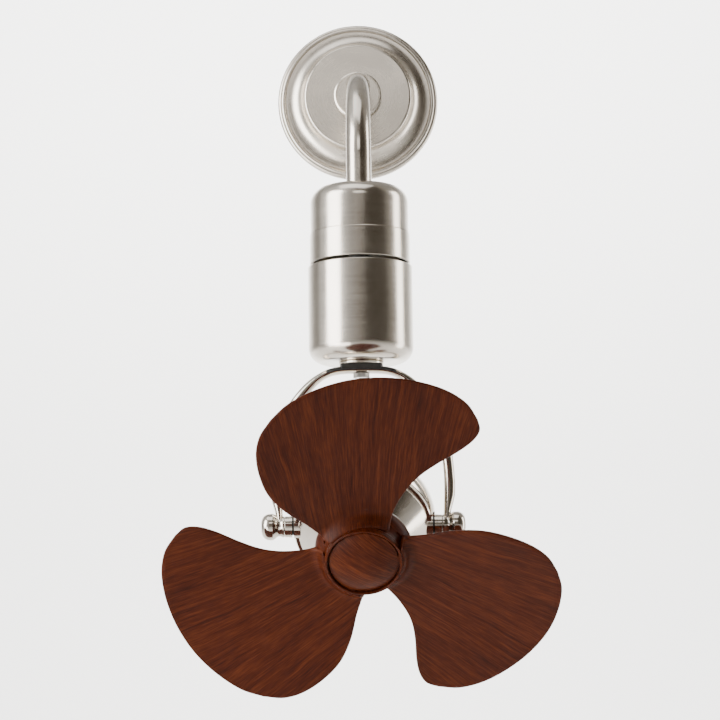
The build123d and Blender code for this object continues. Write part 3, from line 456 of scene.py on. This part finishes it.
@dataclass(frozen=True)
class Moulded:
    """Moulded plastic, rubber or satin paint with a fine texture and slightly darker and lighter patches."""

    name: str
    colour: Colour
    roughness: float = 0.5
    grain: float = 1400.0
    relief: float = 0.15
    coat: float = 0.0
    patch_scale: float = 30.0
    patch_dark: float = 0.85
    patch_light: float = 1.2
    shinier: float = 0.88
    duller: float = 1.1
    grain_rough: float = 0.04
    relief_depth: float = 0.0002

    def material(self) -> bpy.types.Material:
        """Builds the material.

        Returns:
            The material.
        """
        graph = Graph(self.name)
        point = graph.local(Vector((0.0, 0.0, 0.0)), Euler((0.0, 0.0, 0.0)))
        grain = graph.noise(point, self.grain, detail=2.0)
        patches = graph.noise(point, self.patch_scale, detail=4.0, roughness=0.6, distortion=0.3)
        colour = graph.ramp(graph.spread(patches, 0.0, 1.0), [
            (0.0, shade(self.colour, self.patch_dark)),
            (1.0, shade(self.colour, self.patch_light)),
        ])
        graph.join(colour, graph.shader.inputs["Base Color"])
        rough = graph.plus(graph.spread(patches, self.roughness * self.shinier, self.roughness * self.duller),
                          graph.spread(grain, -self.grain_rough, self.grain_rough))
        graph.join(rough, graph.shader.inputs["Roughness"])
        graph.shader.inputs["Coat Weight"].default_value = self.coat
        graph.bump(grain, self.relief, self.relief_depth)
        return graph.material


@dataclass(frozen=True)
class WoodGrain:
    """Satin walnut grain that runs out along a blade and fans a little."""

    name: str
    turn_deg: float
    dark: Colour = (0.017, 0.0020, 0.0003)
    middle: Colour = (0.044, 0.0066, 0.0008)
    light: Colour = (0.095, 0.0200, 0.0042)
    roughness: float = 0.42
    specular: float = 0.12
    apex: float = 0.3
    sway: float = 0.007
    sway_scale: float = 9.0
    pore_scales: Scales = (2300.0, 60.0, 300.0)
    fibre_scales: Scales = (760.0, 13.0, 90.0)
    figure_scales: Scales = (110.0, 6.0, 20.0)
    pore_share: float = 0.33
    fibre_share: float = 0.45
    figure_share: float = 0.22
    dark_stop: float = 0.1
    middle_stop: float = 0.45
    light_stop: float = 0.9
    shinier: float = 0.85
    duller: float = 1.2
    relief: float = 0.25
    relief_depth: float = 0.0004

    def material(self) -> bpy.types.Material:
        """Builds the material.

        Returns:
            The material.
        """
        graph = Graph(self.name)
        turn = Matrix.Rotation(FAN_TURN, 3, "X") @ Matrix.Rotation(math.radians(self.turn_deg), 3, "Z")
        point = graph.local(PIVOT, turn.to_euler("XYZ"))
        x, y, z = graph.split(point)
        across = graph.times(graph.work_out("ARCTAN2", x, graph.plus(y, self.apex)), self.apex)
        swing = graph.noise(point, self.sway_scale, detail=2.0, roughness=0.5)
        along = (graph.plus(across, graph.times(swing, self.sway)), y, z)
        pores = graph.noise(graph.stretched(self.pore_scales, along), 1.0, detail=2.0, roughness=0.5)
        fibres = graph.noise(graph.stretched(self.fibre_scales, along), 1.0, detail=4.0, roughness=0.65,
                             distortion=0.3)
        figure = graph.noise(graph.stretched(self.figure_scales, along), 1.0, detail=3.0, roughness=0.6,
                             distortion=0.6)
        finer = graph.plus(graph.times(figure, self.figure_share), graph.times(pores, self.pore_share))
        mixed = graph.plus(graph.times(fibres, self.fibre_share), finer)
        tone = graph.spread(mixed, 0.0, 1.0)
        colour = graph.ramp(tone, [
            (self.dark_stop, self.dark),
            (self.middle_stop, self.middle),
            (self.light_stop, self.light),
        ])
        graph.join(colour, graph.shader.inputs["Base Color"])
        rough = graph.spread(mixed, self.roughness * self.duller, self.roughness * self.shinier)
        graph.join(rough, graph.shader.inputs["Roughness"])
        graph.shader.inputs["Specular IOR Level"].default_value = self.specular
        graph.bump(mixed, self.relief, self.relief_depth)
        return graph.material


def metres(line: Line, x: float, y: float, z: float) -> Vector:
    """Turns millimetres in an axis's own frame into metres in the model's frame."""
    origin, turn = line.place()
    return origin + turn.to_matrix() @ Vector((x, y, z)) * MM


def make_piece(name: str, points: Sequence[Vector], faces: Sequence[Sequence[int]], body: str,
               finish_name: str) -> bpy.types.Object:
    """Makes a smooth piece that rides on a body.

    Args:
        name: the piece's name.
        points: its vertices, in metres in the model's frame.
        faces: its faces.
        body: the body that carries it.
        finish_name: the key of its finish.

    Returns:
        The new object.
    """
    mesh = bpy.data.meshes.new(name)
    mesh.from_pydata([tuple(point) for point in points], [], [tuple(face) for face in faces])
    mesh.validate()
    for face in mesh.polygons:
        face.use_smooth = True
    made = bpy.data.objects.new(name, mesh)
    bpy.context.scene.collection.objects.link(made)
    mesh.materials.append(finish(finish_name))
    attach(made, body)
    log.info("%s: %d faces on %s", name, len(mesh.polygons), body)
    return made


# Lengths in millimetres that count as none: a radius on the axis, and a stretch of a curve.
ON_AXIS = 1e-6
SHORTEST = 1e-9


def smooth_through(points: Sequence[Point], steps: int = 12) -> list[Point]:
    """Runs a smooth curve through points.

    Args:
        points: the points, in order.
        steps: how many stretches each gap is cut into.

    Returns:
        Points along the curve, the first and last among them.
    """
    ends = [tuple(2 * a - b for a, b in zip(points[0], points[1])), *points,
            tuple(2 * a - b for a, b in zip(points[-1], points[-2]))]
    curve = []
    for i in range(1, len(ends) - 2):
        before, start, stop, after = ends[i - 1:i + 3]
        for step in range(steps):
            t = step / steps
            curve.append(tuple(
                0.5 * (2 * b + (c - a) * t + (2 * a - 5 * b + 4 * c - d) * t * t
                       + (3 * b - a - 3 * c + d) * t ** 3)
                for a, b, c, d in zip(before, start, stop, after)))
    curve.append(tuple(points[-1]))
    return curve


def spaced(curve: Sequence[Point], shares: Sequence[float]) -> list[Point]:
    """Picks points at given shares of a curve's length.

    Args:
        curve: a fine curve.
        shares: shares from 0 to 1, in order.

    Returns:
        One point for each share.
    """
    lengths = [0.0]
    for a, b in zip(curve, curve[1:]):
        lengths.append(lengths[-1] + math.dist(a, b))
    picked, i = [], 0
    for share in shares:
        goal = share * lengths[-1]
        while i < len(curve) - 2 and lengths[i + 1] < goal:
            i += 1
        t = (goal - lengths[i]) / max(lengths[i + 1] - lengths[i], SHORTEST)
        picked.append(tuple(a + (b - a) * t for a, b in zip(curve[i], curve[i + 1])))
    return picked


def inward_directions(outer: Sequence[Point]) -> list[Point]:
    """Gives the direction into a closed outline at each of its points.

    Args:
        outer: the outline, anticlockwise.

    Returns:
        One direction of unit length for each point.
    """
    directions = []
    for k in range(len(outer)):
        ax, ay = outer[k - 2]
        bx, by = outer[(k + 2) % len(outer)]
        length = math.hypot(bx - ax, by - ay)
        directions.append((-(by - ay) / length, (bx - ax) / length))
    return directions


def lathe(name: str, profile: Sequence[Point], line: Line, body: str, finish_name: str,
          around: int = 144) -> bpy.types.Object:
    """Turns a closed or axis-to-axis profile round an axis.

    Args:
        name: the piece's name.
        profile: radius and height of each point, in millimetres.
        line: the axis.
        body: the body that carries the piece.
        finish_name: the key of its finish.
        around: how many steps the turn has.

    Returns:
        The new object.
    """
    points, faces, rows = [], [], []
    for radius, height in profile:
        if radius < ON_AXIS:
            rows.append([len(points)])
            points.append(metres(line, 0.0, 0.0, height))
            continue
        rows.append(list(range(len(points), len(points) + around)))
        for step in range(around):
            angle = math.tau * step / around
            points.append(metres(line, radius * math.cos(angle), radius * math.sin(angle), height))
    pairs = list(zip(rows, rows[1:]))
    if len(rows[0]) > 1:
        pairs.append((rows[-1], rows[0]))
    for low, high in pairs:
        for step in range(around):
            after = (step + 1) % around
            if len(low) == 1:
                faces.append((low[0], high[after], high[step]))
            elif len(high) == 1:
                faces.append((low[step], low[after], high[0]))
            else:
                faces.append((low[step], low[after], high[after], high[step]))
    return make_piece(name, points, faces, body, finish_name)


def arc(centre: Point, radius: float, start_deg: float, stop_deg: float, steps: int) -> list[Point]:
    """Gives the points of an arc in a number of equal stretches, both ends among them."""
    angles = [math.radians(start_deg + (stop_deg - start_deg) * i / steps) for i in range(steps + 1)]
    return [(centre[0] + radius * math.cos(angle), centre[1] + radius * math.sin(angle)) for angle in angles]


NICKEL: Colour = (0.70, 0.645, 0.57)
STEEL: Colour = (0.56, 0.56, 0.57)

Finish = TurnedMetal | PlainMetal | LayeredMetal | Moulded | WoodGrain

FINISHES: dict[str, Finish] = {
    "nickel_wall": TurnedMetal("brushed_nickel_wall", Line.WALL, NICKEL, roughness=0.27, streak=0.08,
                               streaks_per_metre=2000.0, relief=0.04),
    "nickel_swing": TurnedMetal("brushed_nickel_swing", Line.SWING, NICKEL, roughness=0.21, streak=0.11,
                                relief=0.05),
    "nickel_pivot": TurnedMetal("polished_nickel_pivot", Line.PIVOT, NICKEL, roughness=0.14, streak=0.06,
                                streaks_per_metre=3000.0, relief=0.02),
    "nickel_fan": TurnedMetal("polished_nickel_fan", Line.FAN, NICKEL, roughness=0.13, streak=0.06,
                              streaks_per_metre=3000.0, relief=0.02),
    "nickel_ring": TurnedMetal("polished_nickel_ring", Line.SWING, NICKEL, roughness=0.10, streak=0.05,
                               streaks_per_metre=3000.0, relief=0.02),
    "nickel_bar": PlainMetal("polished_nickel_bar", NICKEL, roughness=0.13, grain=700.0, relief=0.02,
                             patch=0.05),
    "nickel_tube": PlainMetal("brushed_nickel_tube", NICKEL, roughness=0.20, grain=1500.0, relief=0.04,
                              patch=0.06),
    "steel_swing": TurnedMetal("turned_steel", Line.SWING, STEEL, streak=0.1),
    "steel_fan": TurnedMetal("turned_steel_fan", Line.FAN, STEEL, roughness=0.25, streak=0.1),
    "zinc": PlainMetal("zinc_plate", (0.58, 0.58, 0.56), roughness=0.36),
    "cast": PlainMetal("cast_aluminium", (0.55, 0.55, 0.55), roughness=0.5, grain=500.0, relief=0.25,
                       patch=0.08),
    "core": LayeredMetal("core_sheets", Line.FAN, (0.10, 0.10, 0.11), (0.24, 0.24, 0.25), 1200.0),
    "copper": LayeredMetal("copper_wire", Line.FAN, (0.35, 0.12, 0.05), (0.72, 0.32, 0.15), 900.0,
                           roughness=0.35),
    "acetal": Moulded("natural_acetal", (0.80, 0.78, 0.70), roughness=0.4),
    "black": Moulded("black_moulding", (0.022, 0.021, 0.020), roughness=0.45),
    # Satin black for the front plate: a black plate whose black stands in as painted shade for the dark gap
    # between the hub's back and the front cone.
    "paint": Moulded("satin_black_gap_shade", (0.018, 0.016, 0.014), roughness=0.32, grain=900.0, relief=0.06,
                     coat=0.2),
    "rubber": Moulded("black_rubber", (0.025, 0.025, 0.025), roughness=0.65, grain=1000.0, relief=0.2),
    "wood_hub": WoodGrain("walnut_hub", 50.0, roughness=0.36),
    "wood_cap": WoodGrain("walnut_cap", 55.0, light=(0.125, 0.029, 0.007), roughness=0.3),
    "wood_1": WoodGrain("walnut_blade_1", 0.0),
    "wood_2": WoodGrain("walnut_blade_2", 120.0),
    "wood_3": WoodGrain("walnut_blade_3", 240.0),
}
made_finishes: dict[str, bpy.types.Material] = {}


def finish(name: str) -> bpy.types.Material:
    """Gives a finish's material and builds it the first time.

    Args:
        name: the finish's key in FINISHES.

    Returns:
        The material.
    """
    if name not in made_finishes:
        made_finishes[name] = FINISHES[name].material()
    return made_finishes[name]


def dress_node(node: str, finish_name: str) -> None:
    """Puts a finish on a carried-over part.

    Args:
        node: the part's name.
        finish_name: the finish's key.
    """
    part = frame["nodes"][node]
    if not part.material_slots:
        part.data.materials.append(finish(finish_name))
    for slot in part.material_slots:
        slot.material = finish(finish_name)
    log.info("%s: %s", node, finish_name)


@dataclass
class SubAssembly:
    """A group of carried-over parts and the finish of each."""

    finishes: dict[str, str] = field(default_factory=dict)

    def build(self) -> None:
        """Adds the pieces that the carried-over parts don't have."""

    def dress(self) -> None:
        """Puts each part's finish on it."""
        for node, name in self.finishes.items():
            dress_node(node, name)


@dataclass
class WallRose(SubAssembly):
    """The canopy on the wall, its collar and what it covers."""

    finishes: dict[str, str] = field(default_factory=lambda: {
        "canopy": "nickel_wall", "canopy_collar": "nickel_wall", "canopy_collar_screw": "zinc",
        "wall_plate": "zinc", "arm_flange": "cast", "flange_screws": "zinc", "flange_set_screw": "zinc",
        "terminal_block": "acetal", "run_capacitor": "black",
    })


@dataclass
class Arm(SubAssembly):
    """The bent tube from the wall to the housing."""

    finishes: dict[str, str] = field(default_factory=lambda: {"arm_tube": "nickel_tube"})


@dataclass
class Housing(SubAssembly):
    """The fixed cap and ring, the swinging cup and the works inside."""

    finishes: dict[str, str] = field(default_factory=lambda: {
        "upper_cap": "nickel_swing", "middle_ring": "nickel_swing", "lower_cup": "nickel_swing",
        "arm_socket": "cast", "socket_pin": "zinc", "ring_screws": "zinc", "spindle": "steel_swing",
        "spindle_screws": "zinc", "spindle_nut": "zinc", "sun_gear": "acetal", "drive_pinion": "acetal",
        "turntable": "cast", "turntable_screws": "zinc", "upper_bearing": "steel_swing",
        "lower_bearing": "steel_swing", "bracket_posts": "zinc", "motor_bracket": "zinc",
        "bracket_screws": "zinc", "swing_motor": "zinc", "swing_motor_screws": "zinc",
        "bottom_collar": "nickel_ring",
    })


@dataclass
class Yoke(SubAssembly):
    """The horseshoe that carries the motor, and its fixing to the cup."""

    finishes: dict[str, str] = field(default_factory=lambda: {
        # The saddle pad is a black pad, and its black also stands in as painted shade for the dark band where
        # the yoke's top meets the cup.
        "yoke": "nickel_bar", "saddle_pad": "black", "yoke_bolt": "zinc", "yoke_nut": "zinc",
    })


@dataclass
class Pivots(SubAssembly):
    """The two knobs, their collars, washers and bolts."""

    finishes: dict[str, str] = field(default_factory=lambda: {
        "pivot_knobs": "nickel_pivot", "pivot_collars": "nickel_pivot", "pivot_washers": "black",
        "pivot_bolts": "zinc",
    })


@dataclass
class MotorHousing(SubAssembly):
    """The shells round the motor and the motor inside them."""

    finishes: dict[str, str] = field(default_factory=lambda: {
        "rear_shell": "nickel_fan", "trim_ring": "nickel_fan", "front_cone": "nickel_fan",
        # The front plate's black is painted shade for the dark gap behind the hub.
        "front_plate": "paint", "housing_screws": "zinc", "cable_grommet": "rubber",
        "stator_core": "core", "stator_windings": "copper", "rotor_core": "core",
        "rear_motor_bearing": "steel_fan", "front_motor_bearing": "steel_fan", "motor_shaft": "steel_fan",
    })


@dataclass
class Skin:
    """The growing points and faces of one blade."""

    turn_deg: float
    points: list[Vector] = field(default_factory=list)
    faces: list[list[int]] = field(default_factory=list)

    def put(self, x: float, y: float, z: float) -> int:
        """Adds one point, turned to the blade's place round the fan.

        Args:
            x: millimetres across the blade.
            y: millimetres out along it.
            z: millimetres along the fan's axis.

        Returns:
            The point's number.
        """
        turn = math.radians(self.turn_deg)
        cosine, sine = math.cos(turn), math.sin(turn)
        self.points.append(metres(Line.FAN, cosine * x - sine * y, sine * x + cosine * y, z))
        return len(self.points) - 1


@dataclass
class Impeller(SubAssembly):
    """The hub with its beaded lip and domed cap, and three moulded blades with soft edges and roots.

    Sizes are in millimetres, and heights run along the fan's axis from the middle of the pivots.
    """

    finishes: dict[str, str] = field(default_factory=lambda: {
        "blade_hub": "wood_hub", "hub_nut": "zinc", "blade_screws": "zinc",
    })
    right_side: tuple[Point, ...] = ((28, 34), (33, 52), (40, 68), (50, 84), (62, 97), (79, 110), (102, 125),
                                     (117, 138), (124, 151), (121.5, 165))
    tip_side: tuple[Point, ...] = ((121.5, 165), (110, 186), (88, 204), (58, 217), (24, 224.5), (-12, 225),
                                   (-46, 217.5), (-76, 203.5), (-95, 186))
    left_side: tuple[Point, ...] = ((-42, 24), (-60, 44), (-83, 66), (-100, 90), (-109, 118), (-111.5, 145),
                                    (-107, 167), (-95, 186))
    plane_z: float = 50.0
    pitch_slope: float = -0.165
    pitch_twist: float = 0.000123
    rise_slope: float = 0.082
    rise_curve: float = -0.000119
    camber: float = 0.000375
    root_t: float = 4.6
    tip_t: float = 2.8
    reach: float = 228.6
    edge_round: float = 1.7
    blend_from: float = 59.0
    blend_run: float = 12.5
    blend_front: float = 9.5
    blend_back: float = 5.0
    blend_power: float = 2.2
    blend_most: float = 1.15
    columns: int = 44
    rows: int = 64
    root_bunching: float = 1.35
    edge_steps: int = 6
    blade_step_deg: float = 120.0
    cap_r: float = 37.7
    cap_seam: float = 70.2
    cap_rise: float = 9.2
    cap_corner: float = 1.3
    cap_corner_stop: float = 80.0
    cap_corner_steps: int = 6
    cap_depth: float = 5.5
    cap_foot_in: float = 2.5
    cap_foot_h: float = 0.5
    dome_start: float = 0.6
    dome_steps: int = 28
    bead_in: float = 39.2
    bead_out: float = 42.0
    bead_lift: float = 0.6
    bead_depth: float = 6.0
    bead_steps: int = 12
    bead_skirt: tuple[Point, ...] = ((0.1, 2.0), (-0.4, 5.0))
    bead_foot: Point = (0.6, 7.5)

    def build(self) -> None:
        """Builds the blades, the domed cap and the beaded lip."""
        for number in (1, 2, 3):
            self.blade(number)
        self.cap()
        self.bead()

    def lift(self, x: float, y: float) -> float:
        """Height of a blade's front face above its plane, before the root's blend."""
        return ((self.pitch_slope + self.pitch_twist * y) * x + self.rise_slope * y
                + self.rise_curve * y * y + self.camber * x * x)

    def heights_at(self, x: float, y: float) -> tuple[float, float]:
        """Front and back heights of a blade at one place.

        Args:
            x: millimetres across the blade.
            y: millimetres out along it.

        Returns:
            The two heights along the fan's axis.
        """
        share = min(1.0, max(0.0, y / self.reach))
        near = min(self.blend_most, max(0.0, (self.blend_from - math.hypot(x, y)) / self.blend_run))
        front = self.plane_z + self.lift(x, y)
        back = front - (self.root_t + (self.tip_t - self.root_t) * share)
        blend = near ** self.blend_power
        return front + self.blend_front * blend, back - self.blend_back * blend

    def rim(self) -> list[Cell]:
        """Lists the grid's outer cells in order round the blade.

        Returns:
            Column and row of each.
        """
        columns, rows = self.columns, self.rows
        return ([(i, 0) for i in range(columns)] + [(columns, j) for j in range(rows)]
                + [(i, rows) for i in range(columns, 0, -1)] + [(0, j) for j in range(rows, 0, -1)])

    def outline(self, us: Sequence[float], vs: Sequence[float]) -> dict[Cell, Point]:
        """Places the outer cells on the blade's outline.

        Args:
            us: the columns' shares across the blade.
            vs: the rows' shares along it.

        Returns:
            The place of each outer cell.
        """
        root = [tuple(a + (b - a) * u for a, b in zip(self.left_side[0], self.right_side[0])) for u in us]
        tip = spaced(list(reversed(smooth_through(self.tip_side))), us)
        left = spaced(smooth_through(self.left_side), vs)
        right = spaced(smooth_through(self.right_side), vs)
        places = {(i, 0): point for i, point in enumerate(root)}
        places.update({(i, self.rows): point for i, point in enumerate(tip)})
        places.update({(0, j): point for j, point in enumerate(left)})
        places.update({(self.columns, j): point for j, point in enumerate(right)})
        return places

    def inner_grid(self, inner: dict[Cell, Point], us: Sequence[float],
                   vs: Sequence[float]) -> dict[Cell, Point]:
        """Fills the flat grid smoothly between its four sides.

        Args:
            inner: the places of the outer cells.
            us: the columns' shares across the blade.
            vs: the rows' shares along it.

        Returns:
            The place of every cell.
        """
        columns, rows = self.columns, self.rows
        grid = {}
        for j, v in enumerate(vs):
            for i, u in enumerate(us):
                if (i, j) in inner:
                    grid[i, j] = inner[i, j]
                    continue
                grid[i, j] = tuple(
                    (1 - v) * inner[i, 0][c] + v * inner[i, rows][c] + (1 - u) * inner[0, j][c]
                    + u * inner[columns, j][c]
                    - ((1 - u) * (1 - v) * inner[0, 0][c] + u * (1 - v) * inner[columns, 0][c]
                       + (1 - u) * v * inner[0, rows][c] + u * v * inner[columns, rows][c])
                    for c in (0, 1))
        return grid

    def blade(self, number: int) -> None:
        """Builds one blade as a closed skin with a rounded edge.

        Args:
            number: which blade, 1 to 3.
        """
        us = [i / self.columns for i in range(self.columns + 1)]
        vs = [(j / self.rows) ** self.root_bunching for j in range(self.rows + 1)]
        rim = self.rim()
        places = self.outline(us, vs)
        inward = inward_directions([places[key] for key in rim])
        inner = {key: (places[key][0] + dx * self.edge_round, places[key][1] + dy * self.edge_round)
                 for key, (dx, dy) in zip(rim, inward)}
        skin = Skin(self.blade_step_deg * (number - 1))
        fronts, backs = self.broad_faces(skin, self.inner_grid(inner, us, vs))
        rings = [[fronts[key] for key in rim]]
        rings += self.edge_rings(skin, [inner[key] for key in rim], inward)
        rings.append([backs[key] for key in rim])
        for upper, lower in zip(rings, rings[1:]):
            for k in range(len(rim)):
                after = (k + 1) % len(rim)
                skin.faces.append([upper[after], upper[k], lower[k], lower[after]])
        name = f"moulded_blade_{number}"
        piece = make_piece(name, skin.points, skin.faces, "impeller", f"wood_{number}")
        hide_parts(f"blade_{number}")

    def broad_faces(self, skin: Skin, grid: dict[Cell, Point]) -> tuple[dict[Cell, int], dict[Cell, int]]:
        """Covers the front and the back of a blade.

        Args:
            skin: the blade's skin so far.
            grid: the place of every cell.

        Returns:
            The point numbers of the front and of the back.
        """
        fronts = {key: skin.put(x, y, self.heights_at(x, y)[0]) for key, (x, y) in grid.items()}
        backs = {key: skin.put(x, y, self.heights_at(x, y)[1]) for key, (x, y) in grid.items()}
        for j in range(self.rows):
            for i in range(self.columns):
                corners = [(i, j), (i + 1, j), (i + 1, j + 1), (i, j + 1)]
                skin.faces.append([fronts[key] for key in corners])
                skin.faces.append([backs[key] for key in reversed(corners)])
        return fronts, backs

    def edge_rings(self, skin: Skin, inner: Sequence[Point], inward: Sequence[Point]) -> list[list[int]]:
        """Adds the rings of points that round a blade's edge.

        Args:
            skin: the blade's skin so far.
            inner: the places where the rounding starts, in order round the blade.
            inward: the direction into the blade at each.

        Returns:
            The point numbers of each ring, from front to back.
        """
        rings = []
        for step in range(1, self.edge_steps):
            angle = math.radians(90 - 180 * step / self.edge_steps)
            out = self.edge_round * math.cos(angle)
            ring = []
            for (x, y), (dx, dy) in zip(inner, inward):
                front, back = self.heights_at(x, y)
                height = (front + back) / 2 + (front - back) / 2 * math.sin(angle)
                ring.append(skin.put(x - dx * out, y - dy * out, height))
            rings.append(ring)
        return rings

    def cap(self) -> None:
        """Builds the domed cap with a small round at its rim."""
        flat = self.cap_r - self.cap_corner
        dome_r = (flat ** 2 + self.cap_rise ** 2) / (2 * self.cap_rise)
        half = math.degrees(math.asin(flat / dome_r))
        top = self.cap_seam + self.cap_rise
        low = self.cap_seam - self.cap_depth
        profile = [(0.0, low), (self.cap_r - self.cap_foot_in, low), (self.cap_r, low + self.cap_foot_h)]
        profile += arc((flat, self.cap_seam - self.cap_corner), self.cap_corner, 0, self.cap_corner_stop,
                       self.cap_corner_steps)
        profile += arc((0.0, top - dome_r), dome_r, 90 - half + self.dome_start, 90, self.dome_steps)[:-1]
        profile += [(0.0, top)]
        piece = lathe("hub_dome", profile, Line.FAN, "impeller", "wood_cap")
        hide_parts("hub_cap")

    def bead(self) -> None:
        """Builds the raised bead that rims the hub outside the dark groove."""
        middle = (self.bead_in + self.bead_out) / 2
        half = (self.bead_out - self.bead_in) / 2
        top = self.cap_seam + self.bead_lift
        profile = [(self.bead_in, top - self.bead_depth)]
        profile += arc((middle, top), half, 180, 0, self.bead_steps)
        profile += [(self.bead_out + out, top - down) for out, down in self.bead_skirt]
        profile += [(self.bead_in + self.bead_foot[0], top - self.bead_foot[1])]
        lathe("hub_bead", profile, Line.FAN, "impeller", "wood_hub")


@dataclass
class Softbox:
    """One soft studio light and the point that it faces, in metres and watts."""

    name: str
    place: Vector
    width: float
    height: float
    power: float
    colour: Colour = (1.0, 1.0, 1.0)
    target: Vector = field(default_factory=lambda: Vector((0.0, -0.2, -0.35)))

    def build(self) -> None:
        """Hangs the light."""
        data = bpy.data.lights.new(self.name, "AREA")
        data.shape = "RECTANGLE"
        data.size = self.width
        data.size_y = self.height
        data.energy = self.power
        data.color = self.colour
        lamp = bpy.data.objects.new(self.name, data)
        bpy.context.scene.collection.objects.link(lamp)
        lamp.location = self.place
        lamp.rotation_euler = (self.target - self.place).to_track_quat("-Z", "Y").to_euler()
        log.info("%s: %.0f W", self.name, self.power)


@dataclass
class Studio:
    """Pale sweep, soft light and the camera at the photograph's angle.

    Sizes are in metres, apart from the lens and the sensor in millimetres.
    """

    camera_place: Vector = field(default_factory=lambda: Vector((-0.0014, -2.805, -0.786)))
    pitch_deg: float = 9.54
    roll_deg: float = -0.75
    lens: float = 120.0
    floor_z: float = -1.35
    back_y: float = 5.5
    half_width: float = 22.0
    front_y: float = -22.0
    back_h: float = 9.0
    cove: float = 1.6
    cove_steps: int = 12
    sensor: float = 36.0
    view_depth: float = 60.0
    paper: Colour = (0.82, 0.815, 0.80)
    paper_roughness: float = 0.85
    room_strength: float = 0.8
    room_stops: tuple[tuple[float, Colour], ...] = (
        (0.00, (0.95, 0.94, 0.92)), (0.15, (0.80, 0.79, 0.77)), (0.24, (0.30, 0.27, 0.235)),
        (0.29, (0.085, 0.07, 0.052)), (0.41, (0.10, 0.085, 0.066)), (0.46, (0.40, 0.37, 0.33)),
        (0.56, (0.45, 0.43, 0.39)), (0.64, (0.50, 0.48, 0.45)), (0.85, (0.60, 0.59, 0.57)),
        (1.00, (0.95, 0.94, 0.92)),
    )

    def build(self) -> None:
        """Builds the sweep, the lights, the surroundings and the camera."""
        self.sweep()
        self.lights()
        self.surroundings()
        self.camera()

    def sweep(self) -> None:
        """Builds the floor that curves up into the backdrop."""
        profile = [(self.front_y, self.floor_z), (self.back_y - self.cove, self.floor_z)]
        for step in range(1, self.cove_steps + 1):
            angle = math.radians(90 * step / self.cove_steps)
            profile.append((self.back_y - self.cove + self.cove * math.sin(angle),
                            self.floor_z + self.cove * (1 - math.cos(angle))))
        profile.append((self.back_y, self.floor_z + self.back_h))
        points = [(side * self.half_width, y, z) for y, z in profile for side in (-1, 1)]
        faces = [(2 * i, 2 * i + 1, 2 * i + 3, 2 * i + 2) for i in range(len(profile) - 1)]
        mesh = bpy.data.meshes.new("studio_sweep")
        mesh.from_pydata(points, [], faces)
        for face in mesh.polygons:
            face.use_smooth = True
        floor = bpy.data.objects.new("studio_sweep", mesh)
        bpy.context.scene.collection.objects.link(floor)
        graph = Graph("pale_sweep")
        graph.shader.inputs["Base Color"].default_value = (*self.paper, 1.0)
        graph.shader.inputs["Roughness"].default_value = self.paper_roughness
        floor.data.materials.append(graph.material)
        log.info("studio sweep at %.2f m", self.floor_z)

    def lights(self) -> None:
        """Hangs the key on the left, a strip on the right, three weak fills and a wash on the backdrop."""
        boxes = [
            Softbox("key_left", Vector((-2.35, -1.45, 0.15)), width=1.6, height=3.2, power=150.0,
                    colour=(1.0, 0.985, 0.965)),
            Softbox("strip_right", Vector((2.5, 0.15, -0.1)), width=0.8, height=3.0, power=46.0,
                    colour=(1.0, 0.97, 0.93)),
            Softbox("top", Vector((-0.3, -1.0, 2.3)), width=2.4, height=1.6, power=22.0,
                    colour=(1.0, 0.99, 0.98)),
            Softbox("front_high", Vector((0.0, -3.3, 1.25)), width=1.4, height=0.7, power=6.0,
                    colour=(1.0, 0.98, 0.95)),
            Softbox("low_left", Vector((-1.2, -1.4, -1.2)), width=1.2, height=0.9, power=15.0,
                    colour=(1.0, 0.96, 0.93)),
            Softbox("backdrop_wash", Vector((0.0, 2.6, 2.6)), width=6.0, height=1.5, power=900.0,
                    target=Vector((0.0, self.back_y, 0.4))),
        ]
        for box in boxes:
            box.build()

    def surroundings(self) -> None:
        """Paints the room: pale on the left, dark from the front towards the right, middling elsewhere."""
        world = bpy.data.worlds.new("studio")
        bpy.context.scene.world = world
        world.use_nodes = True
        tree = world.node_tree
        tree.nodes.clear()
        coord = tree.nodes.new("ShaderNodeTexCoord")
        around = tree.nodes.new("ShaderNodeTexGradient")
        around.gradient_type = "RADIAL"
        ramp = tree.nodes.new("ShaderNodeValToRGB")
        back = tree.nodes.new("ShaderNodeBackground")
        out = tree.nodes.new("ShaderNodeOutputWorld")
        set_stops(ramp, self.room_stops)
        tree.links.new(coord.outputs["Generated"], around.inputs["Vector"])
        tree.links.new(around.outputs["Fac"], ramp.inputs["Fac"])
        tree.links.new(ramp.outputs["Color"], back.inputs["Color"])
        tree.links.new(back.outputs["Background"], out.inputs["Surface"])
        back.inputs["Strength"].default_value = self.room_strength

    def camera(self) -> None:
        """Sets the camera at the photograph's viewing angle."""
        data = bpy.data.cameras.new("camera")
        data.lens = self.lens
        data.sensor_width = self.sensor
        data.clip_end = self.view_depth
        eye = bpy.data.objects.new("camera", data)
        bpy.context.scene.collection.objects.link(eye)
        turn = (Matrix.Rotation(math.radians(90 + self.pitch_deg), 4, "X")
                @ Matrix.Rotation(math.radians(self.roll_deg), 4, "Z"))
        eye.matrix_world = Matrix.Translation(self.camera_place) @ turn
        bpy.context.scene.camera = eye


def main() -> None:
    """Builds and dresses every sub-assembly, then the studio."""
    logging.basicConfig(level=logging.INFO, format="%(message)s")
    for group in (WallRose(), Arm(), Housing(), Yoke(), Pivots(), MotorHousing(), Impeller()):
        log.info("%s", type(group).__name__)
        group.build()
        group.dress()
    Studio().build()


if __name__ == "__main__":
    main()
